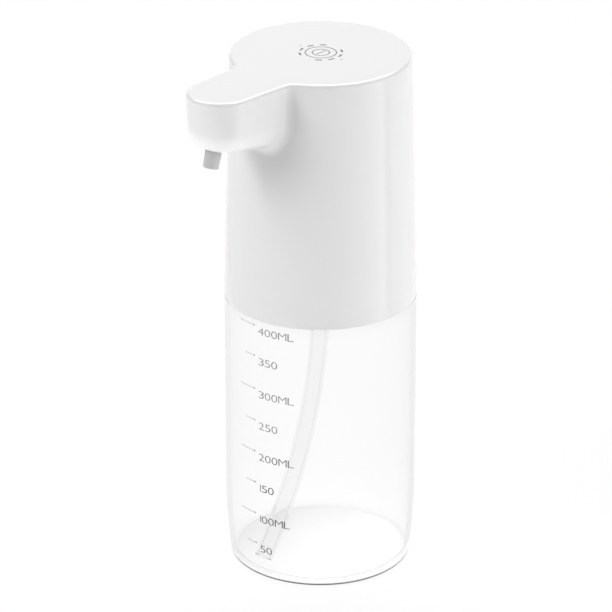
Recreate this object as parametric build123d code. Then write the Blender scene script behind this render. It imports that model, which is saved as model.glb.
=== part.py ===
from build123d import *
import math
import os

# Counter-top soap dispenser: a clear screw-on bottle under a white pump head with a spout.
# Millimetres and degrees, +Z up, origin at the centre of the bottle's base, spout towards -Y.

# Outside form
BODY_RADIUS = 36.5
HEAD_TAPER = 2.5
BOTTLE_HEIGHT = 108.5
HEAD_HEIGHT = 96.5
TOP_EDGE_RADIUS = 1.3
JOINT_GAP = 0.25
RIM_EDGE_RADIUS = 0.3

# Bottle
BASE_DRAW_IN = 1.9
BASE_CURVE_HEIGHT = 30.0
BASE_EDGE_RADIUS = 0.8
BOTTLE_WALL = 1.7
BOTTLE_FLOOR = 1.5
FLOOR_CORNER_RADIUS = 3.0
SHOULDER_EDGE_RADIUS = 0.2
NECK_HEIGHT = 9.0
NECK_WALL = 1.5
NECK_EDGE_RADIUS = 0.4

# Screw thread between the bottle and the head
THREAD_STARTS = 4
THREAD_LEAD = 32.0
THREAD_THICKNESS = 1.8
THREAD_SPAN = 50.0
THREAD_DEPTH = 0.9
THREAD_GAP = 0.3
THREAD_ROOT = 0.5
THREAD_TOP_MARGIN = 0.8
SKIRT_WALL = 2.0

# Spout
SPOUT_LENGTH = 29.9
SPOUT_TIP_RADIUS = 12.6
SPOUT_FLARE = 2.3
SPOUT_DRAFT = 2.0
SPOUT_TIP_DEPTH = 22.7
SPOUT_SLOPE = 10.3
SPOUT_BELLY_FLAT = 2.3
SPOUT_ROOT_RADIUS = 5.0
SPOUT_BLOCK_DEPTH = 40.0

# Head shell
WALL = 2.2
FIT = 0.02
RUNNING_GAP = 0.05

# Head floor, gasket and seal
GASKET_THICKNESS = 1.5
GASKET_INSET = 0.1
PLATE_THICKNESS = 3.5
PLATE_GAP = 0.2
SEAL_HEIGHT = 1.6
SEAL_DEPTH = 1.0
SEAL_GAP = 0.05
BOSS_RADIUS = 3.0
BOSS_HEIGHT = 14.5
BOSS_INSET = 4.4
BOSS_RIB = 2.0
BOSS_PUMP_GAP = 0.05

# Screws
SCREW_RADIUS = 1.3
SCREW_HEAD_RADIUS = 2.4
SCREW_HEAD_HEIGHT = 1.6
SCREW_SLOT_WIDTH = 0.6
SCREW_SLOT_DEPTH = 0.8
SCREW_HEAD_GAP = 0.1
BASE_SCREW_LENGTH = 12.0
PUMP_SCREW_LENGTH = 11.0
CRADLE_SCREW_LENGTH = 8.0
SMALL_SCREW_RADIUS = 1.0
SMALL_SCREW_HEAD_RADIUS = 1.9
SMALL_SCREW_HEAD_HEIGHT = 1.3
MOTOR_SCREW_GRIP = 3.0
TOUCH_SCREW_LENGTH = 5.0

# Inlet: spigot, check ball and dip tube
SPIGOT_RADIUS = 2.3
SPIGOT_LENGTH = 12.0
SPIGOT_BORE = 1.5
SEAT_RISE = 0.8
BALL_RADIUS = 2.2
BALL_GAP = 0.4
TUBE_RADIUS = 3.5
TUBE_TOP_GAP = 0.6
TUBE_STRAIGHT = 12.4
TUBE_SIDE_GAP = 0.3
TUBE_FLOOR_GAP = 2.2
TUBE_TURN = 9.0

# Air vent
VENT_X = -17.0
VENT_PUMP_GAP = 3.5
VENT_STEM_RADIUS = 1.0
VENT_DISC_RADIUS = 4.0
VENT_DISC_THICKNESS = 0.8
VENT_KNOB_RADIUS = 1.7
VENT_KNOB_HEIGHT = 1.4
VENT_HOLE_RADIUS = 0.6
VENT_HOLE_RING = 2.4
VENT_HOLES = 3

# Gear pump
GEAR_TEETH = 12
GEAR_MODULE = 1.05
GEAR_PRESSURE_ANGLE = 25.0
GEAR_ADDENDUM = 0.78
GEAR_DEDENDUM = 1.12
GEAR_BACKLASH = 0.2
GEAR_HEIGHT = 7.0
GEAR_FLANK_POINTS = 5
GEAR_Y = -8.0
CHAMBER_GAP = 0.15
CHAMBER_END_GAP = 0.1
PUMP_LENGTH = 35.0
PUMP_FRONT_REACH = 14.0
PUMP_BACK_REACH = 14.5
PUMP_CORNER_RADIUS = 4.0
PUMP_COVER_THICKNESS = 2.5
PUMP_ROOF = 4.0
PUMP_SCREW_SIDE = 3.0
PUMP_SCREW_FRONT = 3.2
PUMP_SCREW_BACK = 3.3
PORT_WIDTH = 4.0
IDLER_PIN_RADIUS = 1.5
IDLER_PIN_EMBED = 1.5
OUTLET_SCREW_GAP = 3.7
OUTLET_INSET = 4.2
OUTLET_BORE = 1.2
OUTLET_CHANNEL_HEIGHT = 4.0
OUTLET_SPIGOT_LENGTH = 7.0
SHAFT_SEAL_RADIUS = 3.5
SHAFT_SEAL_HEIGHT = 2.0

# Motor
MOTOR_RADIUS = 12.2
MOTOR_WALL = 1.0
MOTOR_FACE = 1.5
MOTOR_LENGTH = 30.0
MOTOR_CAP_THICKNESS = 3.0
MOTOR_CAP_PLUG = 2.0
MOTOR_EDGE_RADIUS = 0.8
MOTOR_SCREW_RING = 10.0
MAGNET_THICKNESS = 1.9
MAGNET_SPAN = 130.0
MAGNET_LENGTH = 18.0
MAGNET_RISE = 5.0
AIR_GAP = 0.5
ROTOR_SLOTS = 3
ROTOR_SLOT_WIDTH = 2.0
ROTOR_SLOT_DEPTH = 4.0
SHAFT_RADIUS = 1.0
SHAFT_END_GAP = 1.0
SHAFT_TAIL = 2.0

# Outlet hose, nozzle and elbow
HOSE_RADIUS = 3.0
HOSE_BORE = 2.0
HOSE_START_RISE = 0.8
HOSE_BEND_RADIUS = 8.0
HOSE_BEND_BACK = 16.8
HOSE_OVERLAP = 3.0
NOZZLE_FORWARD = 3.9
NOZZLE_TILT = 15.0
NOZZLE_LENGTH = 6.4
NOZZLE_TIP_RADIUS = 2.9
NOZZLE_RADIUS = 3.1
NOZZLE_BORE = 1.6
NOZZLE_TIP_EDGE = 0.4
NOZZLE_FLANGE_RADIUS = 4.0
NOZZLE_FLANGE_THICKNESS = 1.0
NOZZLE_BOSS_RADIUS = 5.5
NOZZLE_BOSS_START = 1.6
NOZZLE_BOSS_TOP = 4.0
ELBOW_RADIUS = 5.0
ELBOW_HEIGHT = 8.0
ELBOW_PORT_RISE = 9.2
ELBOW_BARB_BACK = 8.8

# Hand sensor under the spout
SENSOR_BACK = 10.8
SENSOR_LENS_RADIUS = 2.95
SENSOR_LENS_RECESS = 0.15
SENSOR_LENS_TOP = 3.0
SENSOR_BOSS_RADIUS = 5.0
SENSOR_BOSS_START = 1.6
SENSOR_BOSS_TOP = 4.3
SENSOR_BOARD_WIDTH = 12.0
SENSOR_BOARD_LENGTH = 10.0
SENSOR_BOARD_THICKNESS = 1.2
SENSOR_EYE_RADIUS = 1.0
SENSOR_EYE_HEIGHT = 1.0
SENSOR_EYE_SPACING = 2.6

# Touch key under the top
TOUCH_BOARD_RADIUS = 20.0
TOUCH_BOARD_THICKNESS = 1.6
TOUCH_POST_LENGTH = 5.2
TOUCH_POST_RADIUS = 2.6
TOUCH_POST_X = 15.0
TOUCH_PAD_RADIUS = 7.0
LIGHT_RING_INNER = 7.6
LIGHT_RING_OUTER = 10.0

# Control board
BOARD_PUMP_GAP = 0.75
BOARD_THICKNESS = 1.6
BOARD_WIDTH = 23.0
BOARD_HEIGHT = 62.0
RAIL_THICKNESS = 1.5
RAIL_HEIGHT = 5.0
RAIL_GAP = 0.05
CHIP_THICKNESS = 1.5
CHIP_SIZE = 7.0
CHIP_RISES = (24.0, 40.0)
COIL_SIZE = 5.0
COIL_THICKNESS = 3.0
COIL_RISE = 52.0

# Battery
CELL_RADIUS = 7.1
CELL_LENGTH = 50.0
CELL_EDGE_RADIUS = 0.5
CELL_BUTTON_RADIUS = 2.8
CELL_BUTTON_HEIGHT = 1.0
CRADLE_GAP = 0.2
CRADLE_WALL = 1.4
CRADLE_HEIGHT = 42.0
CRADLE_FLOOR = 1.5
CRADLE_LEG_HEIGHT = 10.0
CRADLE_LEG_HALF = 6.0
CRADLE_LEG_BACK = 3.4
CRADLE_LEG_FRONT = 7.1
CRADLE_BACK_GAP = 1.4
CRADLE_MOUTH = 11.0
CRADLE_SCREW_X = 3.6
CRADLE_SCREW_FORWARD = 2.1

# Charging socket and its flap
CHARGE_BOARD_WIDTH = 15.0
CHARGE_BOARD_LENGTH = 7.8
CHARGE_WALL_GAP = 2.0
CHARGE_BOARD_THICKNESS = 1.2
CHARGE_PAD_HEIGHT = 2.5
CHARGE_OVERHANG = 1.8
PORT_SOCKET_WIDTH = 8.9
PORT_SOCKET_HEIGHT = 3.2
PORT_SOCKET_WALL = 0.3
PORT_SOCKET_LENGTH = 7.2
PORT_SOCKET_SETBACK = 2.3
PORT_TONGUE_WIDTH = 6.6
PORT_TONGUE_THICKNESS = 0.7
PORT_TONGUE_SETBACK = 0.8
PORT_OPENING_GAP = 0.3
FLAP_WIDTH = 12.6
FLAP_TOP_DROP = 0.6
FLAP_BELOW = 10.0
FLAP_GAP = 0.2
FLAP_RECESS = 1.2
FLAP_FLOOR_GAP = 0.15
FLAP_HINGE_RADIUS = 0.5
FLAP_HINGE_LENGTH = 5.0
FLAP_HINGE_RISE = 5.2
FLAP_PLUG_DEPTH = 0.5

# Slot for the hook of a wall plate
HOOK_WIDTH = 12.0
HOOK_MOUTH_RISE = 53.5
HOOK_MOUTH_HEIGHT = 6.0
HOOK_RISE = 7.0
HOOK_INSET = 6.4
HOOK_LIP = 2.4
HOOK_POCKET_WALL = 1.4

# Wires
WIRE_RADIUS = 0.6
WIRE_BEND_RADIUS = 2.5
WIRE_GAP = 0.1
MOTOR_WIRE_X = 5.0
MOTOR_WIRE_RISES = (6.0, 9.0)
CELL_WIRE_X = 1.5
CELL_WIRE_RISE = 3.5
CELL_WIRE_INSETS = (9.0, 5.0)

# Heights and radii that follow from the above
HEAD_TOP_RADIUS = BODY_RADIUS - HEAD_TAPER
BASE_RADIUS = BODY_RADIUS - BASE_DRAW_IN
TOP_Z = BOTTLE_HEIGHT + HEAD_HEIGHT
CEILING_Z = TOP_Z - WALL
SHOULDER_Z = BOTTLE_HEIGHT - JOINT_GAP
RIM_Z = BOTTLE_HEIGHT + NECK_HEIGHT
PLATE_Z = RIM_Z + GASKET_THICKNESS
PLATE_TOP = PLATE_Z + PLATE_THICKNESS
SKIRT_RADIUS = BODY_RADIUS - SKIRT_WALL
NECK_RIDGE_RADIUS = SKIRT_RADIUS - THREAD_GAP
NECK_RADIUS = NECK_RIDGE_RADIUS - THREAD_DEPTH
NECK_BORE = NECK_RADIUS - NECK_WALL
HEAD_RIDGE_RADIUS = NECK_RADIUS + THREAD_GAP
PLATE_RADIUS = HEAD_RIDGE_RADIUS - PLATE_GAP
BALL_CAGE_RADIUS = BALL_RADIUS + BALL_GAP
TUBE_STRAIGHT_END = PLATE_Z - TUBE_TOP_GAP - TUBE_STRAIGHT
TUBE_END_REACH = NECK_BORE - TUBE_RADIUS - TUBE_SIDE_GAP
TUBE_END_HEIGHT = BOTTLE_FLOOR + TUBE_FLOOR_GAP
BOSS_RING = PLATE_RADIUS - BOSS_INSET
BOSS_X = PUMP_LENGTH / 2 + BOSS_PUMP_GAP + BOSS_RADIUS
BOSS_Y = math.sqrt(BOSS_RING**2 - BOSS_X**2)
THREAD_RISE = THREAD_LEAD * THREAD_SPAN / 360
NECK_RIDGE_Z = RIM_Z - THREAD_TOP_MARGIN - THREAD_RISE
HEAD_RIDGE_Z = NECK_RIDGE_Z - THREAD_THICKNESS - THREAD_GAP
TIP_Y = SPOUT_TIP_RADIUS - SPOUT_LENGTH - BODY_RADIUS
SPOUT_BELLY_RADIUS = SPOUT_TIP_RADIUS - SPOUT_BELLY_FLAT
NOZZLE_Y = TIP_Y - NOZZLE_FORWARD
SENSOR_Y = TIP_Y + SENSOR_BACK
HOSE_LAST_BEND = TIP_Y + HOSE_BEND_BACK
ELBOW_BARB_END = TIP_Y + ELBOW_BARB_BACK
GEAR_PITCH_RADIUS = GEAR_TEETH * GEAR_MODULE / 2
GEAR_TIP_RADIUS = GEAR_PITCH_RADIUS + GEAR_ADDENDUM
PUMP_FRONT = GEAR_Y - PUMP_FRONT_REACH
PUMP_BACK = GEAR_Y + PUMP_BACK_REACH
VENT_Y = PUMP_BACK + VENT_PUMP_GAP
PUMP_SCREW_X = PUMP_LENGTH / 2 - PUMP_SCREW_SIDE
OUTLET_X = PUMP_SCREW_X - OUTLET_SCREW_GAP
OUTLET_Y = PUMP_FRONT + OUTLET_INSET
BOARD_X = PUMP_LENGTH / 2 + BOARD_PUMP_GAP + RAIL_THICKNESS + RAIL_GAP
BOARD_BACK = BOARD_WIDTH / 2
BOARD_FRONT = -BOARD_BACK
PUMP_Z = PLATE_TOP + PUMP_COVER_THICKNESS
CHAMBER_HEIGHT = GEAR_HEIGHT + 2 * CHAMBER_END_GAP
CHAMBER_TOP = PUMP_Z + CHAMBER_HEIGHT
PUMP_TOP = CHAMBER_TOP + PUMP_ROOF
MOTOR_TOP = PUMP_TOP + MOTOR_LENGTH
MOTOR_BORE = MOTOR_RADIUS - MOTOR_WALL
ROTOR_RADIUS = MOTOR_BORE - MAGNET_THICKNESS - AIR_GAP
CHARGE_Z = PLATE_TOP + CHARGE_PAD_HEIGHT + CHARGE_BOARD_THICKNESS
PORT_Z = CHARGE_Z + PORT_SOCKET_HEIGHT / 2
HINGE_Z = PORT_Z + FLAP_HINGE_RISE
CELL_Z = PLATE_TOP + CRADLE_LEG_HEIGHT + CRADLE_FLOOR
CRADLE_RADIUS = CELL_RADIUS + CRADLE_GAP + CRADLE_WALL
HOOK_MOUTH_LOW = BOTTLE_HEIGHT + HOOK_MOUTH_RISE
HOOK_POCKET_BACK = BODY_RADIUS - HOOK_INSET
CELL_Y = HOOK_POCKET_BACK - HOOK_POCKET_WALL - CRADLE_BACK_GAP - CRADLE_RADIUS
CHARGE_BOARD_BACK = BODY_RADIUS - WALL - CHARGE_WALL_GAP
CHARGE_BOARD_FRONT = CHARGE_BOARD_BACK - CHARGE_BOARD_LENGTH
CHARGE_PAD_BACK = CHARGE_BOARD_BACK - CHARGE_OVERHANG
PORT_SOCKET_MOUTH = BODY_RADIUS - PORT_SOCKET_SETBACK
PORT_SOCKET_FRONT = PORT_SOCKET_MOUTH - PORT_SOCKET_LENGTH
TOUCH_Z = CEILING_Z - TOUCH_POST_LENGTH - TOUCH_BOARD_THICKNESS

UP = (Align.CENTER, Align.CENTER, Align.MIN)
CENTRED = (Align.CENTER, Align.CENTER, Align.CENTER)


def rod(radius, low, high, x=0, y=0):
    """Upright cylinder between two heights."""
    return Pos(x, y, low) * Cylinder(radius, high - low, align=UP)


def ring(inner, outer, low, high, x=0, y=0):
    """Upright ring between two heights."""
    return rod(outer, low, high, x, y) - rod(inner, low, high, x, y)


def block(left, right, front, back, low, high):
    """Box between stated faces."""
    centre = Pos((left + right) / 2, (front + back) / 2, (low + high) / 2)
    return centre * Box(right - left, back - front, high - low, align=CENTRED)


def head_radius(height):
    """Outside radius of the head at a height."""
    return BODY_RADIUS - (height - BOTTLE_HEIGHT) * (BODY_RADIUS - HEAD_TOP_RADIUS) / HEAD_HEIGHT


def boss_places():
    """Places of the screw bosses, two on each side of the pump."""
    return [(x, y) for x in (-BOSS_X, BOSS_X) for y in (-BOSS_Y, BOSS_Y)]


def head_cone(inset, low, high):
    """The head's round part, moved inwards by inset, between two heights."""
    cone = Cone(head_radius(low) - inset, head_radius(high) - inset, high - low, align=UP)
    return Pos(0, 0, low) * cone


def round_edges(shape, radius, height):
    """Round edges of a turned piece with one radius and height."""
    found = []
    for edge in shape.edges().filter_by(GeomType.CIRCLE):
        same_height = abs(edge.arc_center.Z - height) < FIT
        if same_height and abs(edge.radius - radius) < FIT:
            found.append(edge)
    return found


def solid_group(shapes):
    """Separate solids kept together in one piece."""
    solids = []
    for shape in shapes:
        solids.extend(shape.solids())
    return Compound(solids)


def around(count, turn, ring_radius):
    """Places spread evenly round the axis."""
    angles = [math.radians(turn + 360 * index / count) for index in range(count)]
    return [(ring_radius * math.cos(angle), ring_radius * math.sin(angle)) for angle in angles]


def sector(inner, outer, start, end):
    """Flat piece of a ring between two angles."""
    angles = [math.radians(angle) for angle in (start, (start + end) / 2, end)]
    near = [(inner * math.cos(angle), inner * math.sin(angle)) for angle in angles]
    far = [(outer * math.cos(angle), outer * math.sin(angle)) for angle in angles]
    edges = [
        ThreePointArc(*near),
        Line(near[2], far[2]),
        ThreePointArc(*far),
        Line(far[0], near[0]),
    ]
    return make_face(edges)


def thread_ridges(inner, outer, low):
    """The thread's starts: short helical ridges."""
    width = THREAD_THICKNESS / THREAD_LEAD * 360
    ridges = []
    for index in range(THREAD_STARTS):
        start = 360 / THREAD_STARTS * index
        foot = Pos(0, 0, low) * sector(inner, outer, start - width, start)
        ridge = Solid.extrude_linear_with_rotation(
            foot.face(), (0, 0, low), (0, 0, THREAD_RISE), THREAD_SPAN
        )
        ridges.append(ridge)
    return ridges


def screw(length, radius, head_radius, head_height):
    """Pan-head screw pointing up, its head's bearing face at the origin."""
    head = rod(head_radius, -head_height, 0)
    head = fillet(round_edges(head, head_radius, -head_height), head_height / 2)
    bar = Box(SCREW_SLOT_WIDTH, 2 * radius, SCREW_SLOT_DEPTH, align=UP)
    cross = Pos(0, 0, -head_height) * (bar + Rot(0, 0, 90) * bar)
    return head + rod(radius, 0, length) - cross


def large_screw(length):
    """Screw of the larger size."""
    return screw(length, SCREW_RADIUS, SCREW_HEAD_RADIUS, SCREW_HEAD_HEIGHT)


def small_screw(length):
    """Screw of the smaller size."""
    return screw(length, SMALL_SCREW_RADIUS, SMALL_SCREW_HEAD_RADIUS, SMALL_SCREW_HEAD_HEIGHT)


def bottle():
    """Clear bottle with a rounded-in base and a threaded neck."""
    draw_in = BODY_RADIUS - BASE_RADIUS
    curve = (BASE_CURVE_HEIGHT**2 + draw_in**2) / (2 * draw_in)
    centre = BODY_RADIUS - curve

    def side(radius, height):
        return centre + math.sqrt(radius**2 - (BASE_CURVE_HEIGHT - height) ** 2)

    inner_curve = curve - BOTTLE_WALL
    bore = BODY_RADIUS - BOTTLE_WALL
    middle = BASE_CURVE_HEIGHT / 2
    shoulder_low = SHOULDER_Z - BOTTLE_WALL
    outline = [
        Line((0, 0), (BASE_RADIUS, 0)),
        ThreePointArc((BASE_RADIUS, 0), (side(curve, middle), middle), (BODY_RADIUS, BASE_CURVE_HEIGHT)),
        Polyline(
            (BODY_RADIUS, BASE_CURVE_HEIGHT),
            (BODY_RADIUS, SHOULDER_Z),
            (NECK_RADIUS, SHOULDER_Z),
            (NECK_RADIUS, RIM_Z),
            (NECK_BORE, RIM_Z),
            (NECK_BORE, shoulder_low),
            (bore, shoulder_low - bore + NECK_BORE),
            (bore, BASE_CURVE_HEIGHT),
        ),
        ThreePointArc(
            (bore, BASE_CURVE_HEIGHT),
            (side(inner_curve, middle), middle),
            (side(inner_curve, BOTTLE_FLOOR), BOTTLE_FLOOR),
        ),
        Polyline((side(inner_curve, BOTTLE_FLOOR), BOTTLE_FLOOR), (0, BOTTLE_FLOOR), (0, 0)),
    ]
    glass = revolve(Plane.XZ * make_face(outline), Axis.Z)
    glass = fillet(round_edges(glass, side(inner_curve, BOTTLE_FLOOR), BOTTLE_FLOOR), FLOOR_CORNER_RADIUS)
    glass = fillet(round_edges(glass, BASE_RADIUS, 0), BASE_EDGE_RADIUS)
    glass = fillet(round_edges(glass, BODY_RADIUS, SHOULDER_Z), SHOULDER_EDGE_RADIUS)
    rim = round_edges(glass, NECK_RADIUS, RIM_Z) + round_edges(glass, NECK_BORE, RIM_Z)
    glass = fillet(rim, NECK_EDGE_RADIUS)
    for ridge in thread_ridges(NECK_RADIUS - THREAD_ROOT, NECK_RIDGE_RADIUS, NECK_RIDGE_Z):
        glass = glass + ridge
    return glass


def bottle_gasket():
    """Soft ring on the bottle's rim."""
    return ring(NECK_BORE, NECK_RADIUS - GASKET_INSET, RIM_Z, PLATE_Z)


def spout_outline(height, inset):
    """The spout seen from above: a round tip and two sides that open towards the head."""
    radius = SPOUT_TIP_RADIUS - inset
    flare = math.radians(SPOUT_FLARE)
    half = radius * math.cos(flare)
    touch = TIP_Y - radius * math.sin(flare)
    root = (radius - TIP_Y * math.sin(flare)) / math.cos(flare)
    edges = [
        ThreePointArc((-half, touch), (0, TIP_Y - radius), (half, touch)),
        Polyline((half, touch), (root, 0), (-root, 0), (-half, touch)),
    ]
    return Pos(0, 0, height) * make_face(edges)


def under_height(y):
    """Height of the spout's underside at a place along it."""
    return TOP_Z - SPOUT_TIP_DEPTH - (y - TIP_Y) * math.tan(math.radians(SPOUT_SLOPE))


def spout_block(inset):
    """The spout back to the head's axis, moved inwards by inset on every side."""
    top = TOP_Z - inset
    lean = SPOUT_BLOCK_DEPTH * math.tan(math.radians(SPOUT_DRAFT))
    low = top - SPOUT_BLOCK_DEPTH
    bar = loft([spout_outline(top, inset), spout_outline(low, inset + lean)], ruled=True)
    slope = math.radians(SPOUT_SLOPE)
    under = Plane(
        origin=(0, TIP_Y, under_height(TIP_Y) + inset / math.cos(slope)),
        x_dir=(1, 0, 0),
        z_dir=(0, math.sin(slope), math.cos(slope)),
    )
    bar = split(bar, bisect_by=under, keep=Keep.TOP)
    belly = bar.faces().sort_by(Axis.Z)[0]
    edges = belly.edges().sort_by(Axis.Y)[:-1]
    return fillet(edges, SPOUT_BELLY_RADIUS - inset)


def head_form():
    """Outside of the head with its spout blended in."""
    form = head_cone(0, BOTTLE_HEIGHT, TOP_Z) + spout_block(0)
    seam = []
    for edge in form.edges():
        middle = edge @ 0.5
        off_cone = abs(math.hypot(middle.X, middle.Y) - head_radius(middle.Z))
        between = BOTTLE_HEIGHT + RIM_EDGE_RADIUS < middle.Z < TOP_Z - RIM_EDGE_RADIUS
        if off_cone < FIT and between and middle.Y < TIP_Y / 2:
            seam.append(edge)
    form = fillet(seam, SPOUT_ROOT_RADIUS)
    form = fillet(form.edges().group_by(Axis.Z)[-1], TOP_EDGE_RADIUS)
    return fillet(round_edges(form, BODY_RADIUS, BOTTLE_HEIGHT), RIM_EDGE_RADIUS)


def nozzle_plane():
    """Frame at the nozzle's outlet in the underside, Z up along the nozzle."""
    tilt = math.radians(NOZZLE_TILT)
    return Plane(
        origin=(0, NOZZLE_Y, under_height(NOZZLE_Y)),
        x_dir=(1, 0, 0),
        z_dir=(0, math.sin(tilt), math.cos(tilt)),
    )


def sensor_plane():
    """Frame at the hand sensor in the underside, Z up from it."""
    slope = math.radians(SPOUT_SLOPE)
    return Plane(
        origin=(0, SENSOR_Y, under_height(SENSOR_Y)),
        x_dir=(1, 0, 0),
        z_dir=(0, math.sin(slope), math.cos(slope)),
    )


def flap_recess_floor():
    """Distance of the flap's recess from the head's axis."""
    return head_radius(PORT_Z) - FLAP_RECESS


def flap_space(gap):
    """Space of the charging flap, widened by gap all round."""
    half = FLAP_WIDTH / 2 + gap
    tab = FLAP_HINGE_LENGTH / 2 + gap
    front = flap_recess_floor() + FLAP_FLOOR_GAP - gap * FLAP_FLOOR_GAP / FLAP_GAP
    back = BODY_RADIUS
    top = HINGE_Z - FLAP_TOP_DROP
    plate = block(-half, half, front, back, HINGE_Z - FLAP_BELOW - gap, top + gap)
    return plate + block(-tab, tab, front, back, top, HINGE_Z)


def hinge_bar(gap):
    """Round bar on the flap's hinge line, thickened by gap."""
    y = flap_recess_floor() + FLAP_FLOOR_GAP + FLAP_HINGE_RADIUS
    length = FLAP_HINGE_LENGTH + 2 * gap
    return Pos(0, y, HINGE_Z) * Rot(0, 90, 0) * Cylinder(FLAP_HINGE_RADIUS + gap, length)


def head_shell():
    """White cover of the head, open below, with bosses for what it holds."""
    shell = head_form()
    shell = shell - rod(SKIRT_RADIUS, BOTTLE_HEIGHT, PLATE_Z)
    shell = shell - head_cone(WALL, PLATE_Z, CEILING_Z)
    shell = shell - spout_block(WALL)
    for ridge in thread_ridges(HEAD_RIDGE_RADIUS, SKIRT_RADIUS + THREAD_ROOT, HEAD_RIDGE_Z):
        shell = shell + ridge
    wall_middle = head_radius(PLATE_TOP + BOSS_HEIGHT) - WALL / 2
    for x, y in boss_places():
        turn = Rot(0, 0, math.degrees(math.atan2(y, x)))
        rib = block(BOSS_RING, wall_middle, -BOSS_RIB / 2, BOSS_RIB / 2, PLATE_TOP, PLATE_TOP + BOSS_HEIGHT)
        post = rod(BOSS_RADIUS, PLATE_TOP, PLATE_TOP + BOSS_HEIGHT, BOSS_RING)
        pilot = rod(SCREW_RADIUS + FIT, PLATE_TOP, PLATE_TOP + BASE_SCREW_LENGTH, BOSS_RING)
        shell = shell + turn * (rib + post) - turn * pilot
    for x in (-TOUCH_POST_X, TOUCH_POST_X):
        post_low = CEILING_Z - TOUCH_POST_LENGTH
        shell = shell + rod(TOUCH_POST_RADIUS, post_low, CEILING_Z + FIT, x)
        shell = shell - rod(SMALL_SCREW_RADIUS + FIT, post_low, post_low + TOUCH_SCREW_LENGTH, x)
    shell = shell + nozzle_plane() * rod(NOZZLE_BOSS_RADIUS, NOZZLE_BOSS_START, NOZZLE_BOSS_TOP)
    shell = shell - nozzle_plane() * rod(NOZZLE_RADIUS + FIT, -NOZZLE_BOSS_TOP, NOZZLE_BOSS_TOP)
    shell = shell + sensor_plane() * rod(SENSOR_BOSS_RADIUS, SENSOR_BOSS_START, SENSOR_BOSS_TOP)
    shell = shell - sensor_plane() * rod(SENSOR_LENS_RADIUS + FIT, -SENSOR_BOSS_TOP, SENSOR_BOSS_TOP)
    return shell - charge_cuts() + hook_pocket() - hook_cuts()


def charge_cuts():
    """Opening for the charging socket and the recess of its flap."""
    half = PORT_SOCKET_WIDTH / 2 + PORT_OPENING_GAP
    rise = PORT_SOCKET_HEIGHT / 2 + PORT_OPENING_GAP
    opening = block(-half, half, CHARGE_BOARD_BACK, BODY_RADIUS, PORT_Z - rise, PORT_Z + rise)
    opening = fillet(opening.edges().filter_by(Axis.Y), rise - PORT_OPENING_GAP)
    return opening + flap_space(FLAP_GAP) + hinge_bar(FLAP_GAP)


def hook_faces():
    """Faces of the hook slot: half width, mouth's low and high edge, pocket's top, lip's inner face."""
    high = HOOK_MOUTH_LOW + HOOK_MOUTH_HEIGHT
    lip = head_radius(high) - HOOK_LIP
    return HOOK_WIDTH / 2, HOOK_MOUTH_LOW, high, high + HOOK_RISE, lip


def hook_pocket():
    """Walls of the hook slot inside the head."""
    half, low, high, top, lip = hook_faces()
    wall = HOOK_POCKET_WALL
    front = HOOK_POCKET_BACK - wall
    return block(-half - wall, half + wall, front, lip + WALL / 2, low - wall, top + wall)


def hook_cuts():
    """Mouth of the hook slot and the room above it behind the lip."""
    half, low, high, top, lip = hook_faces()
    mouth = block(-half, half, HOOK_POCKET_BACK, BODY_RADIUS, low, high)
    return mouth + block(-half, half, HOOK_POCKET_BACK, lip, low, top)


def base_plate():
    """Floor of the head with the inlet spigot, the board's rails and the charging board's pad."""
    plate = rod(PLATE_RADIUS, PLATE_Z, PLATE_TOP)
    seal_low = (PLATE_Z + PLATE_TOP - SEAL_HEIGHT) / 2
    plate = plate - ring(PLATE_RADIUS - SEAL_DEPTH, BODY_RADIUS, seal_low, seal_low + SEAL_HEIGHT)
    plate = plate + rod(SPIGOT_RADIUS, PLATE_Z - SPIGOT_LENGTH, PLATE_Z)
    plate = plate - rod(SPIGOT_BORE, PLATE_Z - SPIGOT_LENGTH, PLATE_TOP)
    plate = plate - rod(BALL_CAGE_RADIUS, PLATE_Z + SEAT_RISE, PLATE_TOP)
    half = CHARGE_BOARD_WIDTH / 2
    plate = plate + block(
        -half, half, CHARGE_BOARD_FRONT, CHARGE_PAD_BACK, PLATE_TOP, PLATE_TOP + CHARGE_PAD_HEIGHT
    )
    rail = block(
        BOARD_X - RAIL_GAP - RAIL_THICKNESS,
        BOARD_X + BOARD_THICKNESS + RAIL_GAP + RAIL_THICKNESS,
        BOARD_FRONT,
        BOARD_BACK,
        PLATE_TOP,
        PLATE_TOP + RAIL_HEIGHT,
    )
    slot = block(
        BOARD_X - RAIL_GAP, BOARD_X + BOARD_THICKNESS + RAIL_GAP, BOARD_FRONT, BOARD_BACK, PLATE_TOP, PUMP_TOP
    )
    plate = plate + rail - slot
    places = boss_places() + pump_screw_places() + cradle_screw_places()
    for x, y in places:
        plate = plate - rod(SCREW_RADIUS + RUNNING_GAP, PLATE_Z, PLATE_TOP, x, y)
        sink = PLATE_Z + SCREW_HEAD_HEIGHT + SCREW_HEAD_GAP
        plate = plate - rod(SCREW_HEAD_RADIUS + SCREW_HEAD_GAP, PLATE_Z, sink, x, y)
    plate = plate - rod(VENT_STEM_RADIUS + FIT, PLATE_Z, PLATE_TOP, VENT_X, VENT_Y)
    for x, y in around(VENT_HOLES, 0, VENT_HOLE_RING):
        plate = plate - rod(VENT_HOLE_RADIUS, PLATE_Z, PLATE_TOP, VENT_X + x, VENT_Y + y)
    return plate


def screw_set(places, height, one_screw):
    """One kind of screw at every place, bearing at one height."""
    return solid_group([Pos(x, y, height) * one_screw for x, y in places])


def pump_screw_places():
    """Screws through the pump's corners."""
    rows = (PUMP_FRONT + PUMP_SCREW_FRONT, PUMP_BACK - PUMP_SCREW_BACK)
    return [(x, y) for x in (-PUMP_SCREW_X, PUMP_SCREW_X) for y in rows]


def cradle_screw_places():
    """Screws into the battery cradle's leg."""
    return [(x, CELL_Y - CRADLE_SCREW_FORWARD) for x in (-CRADLE_SCREW_X, CRADLE_SCREW_X)]


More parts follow.
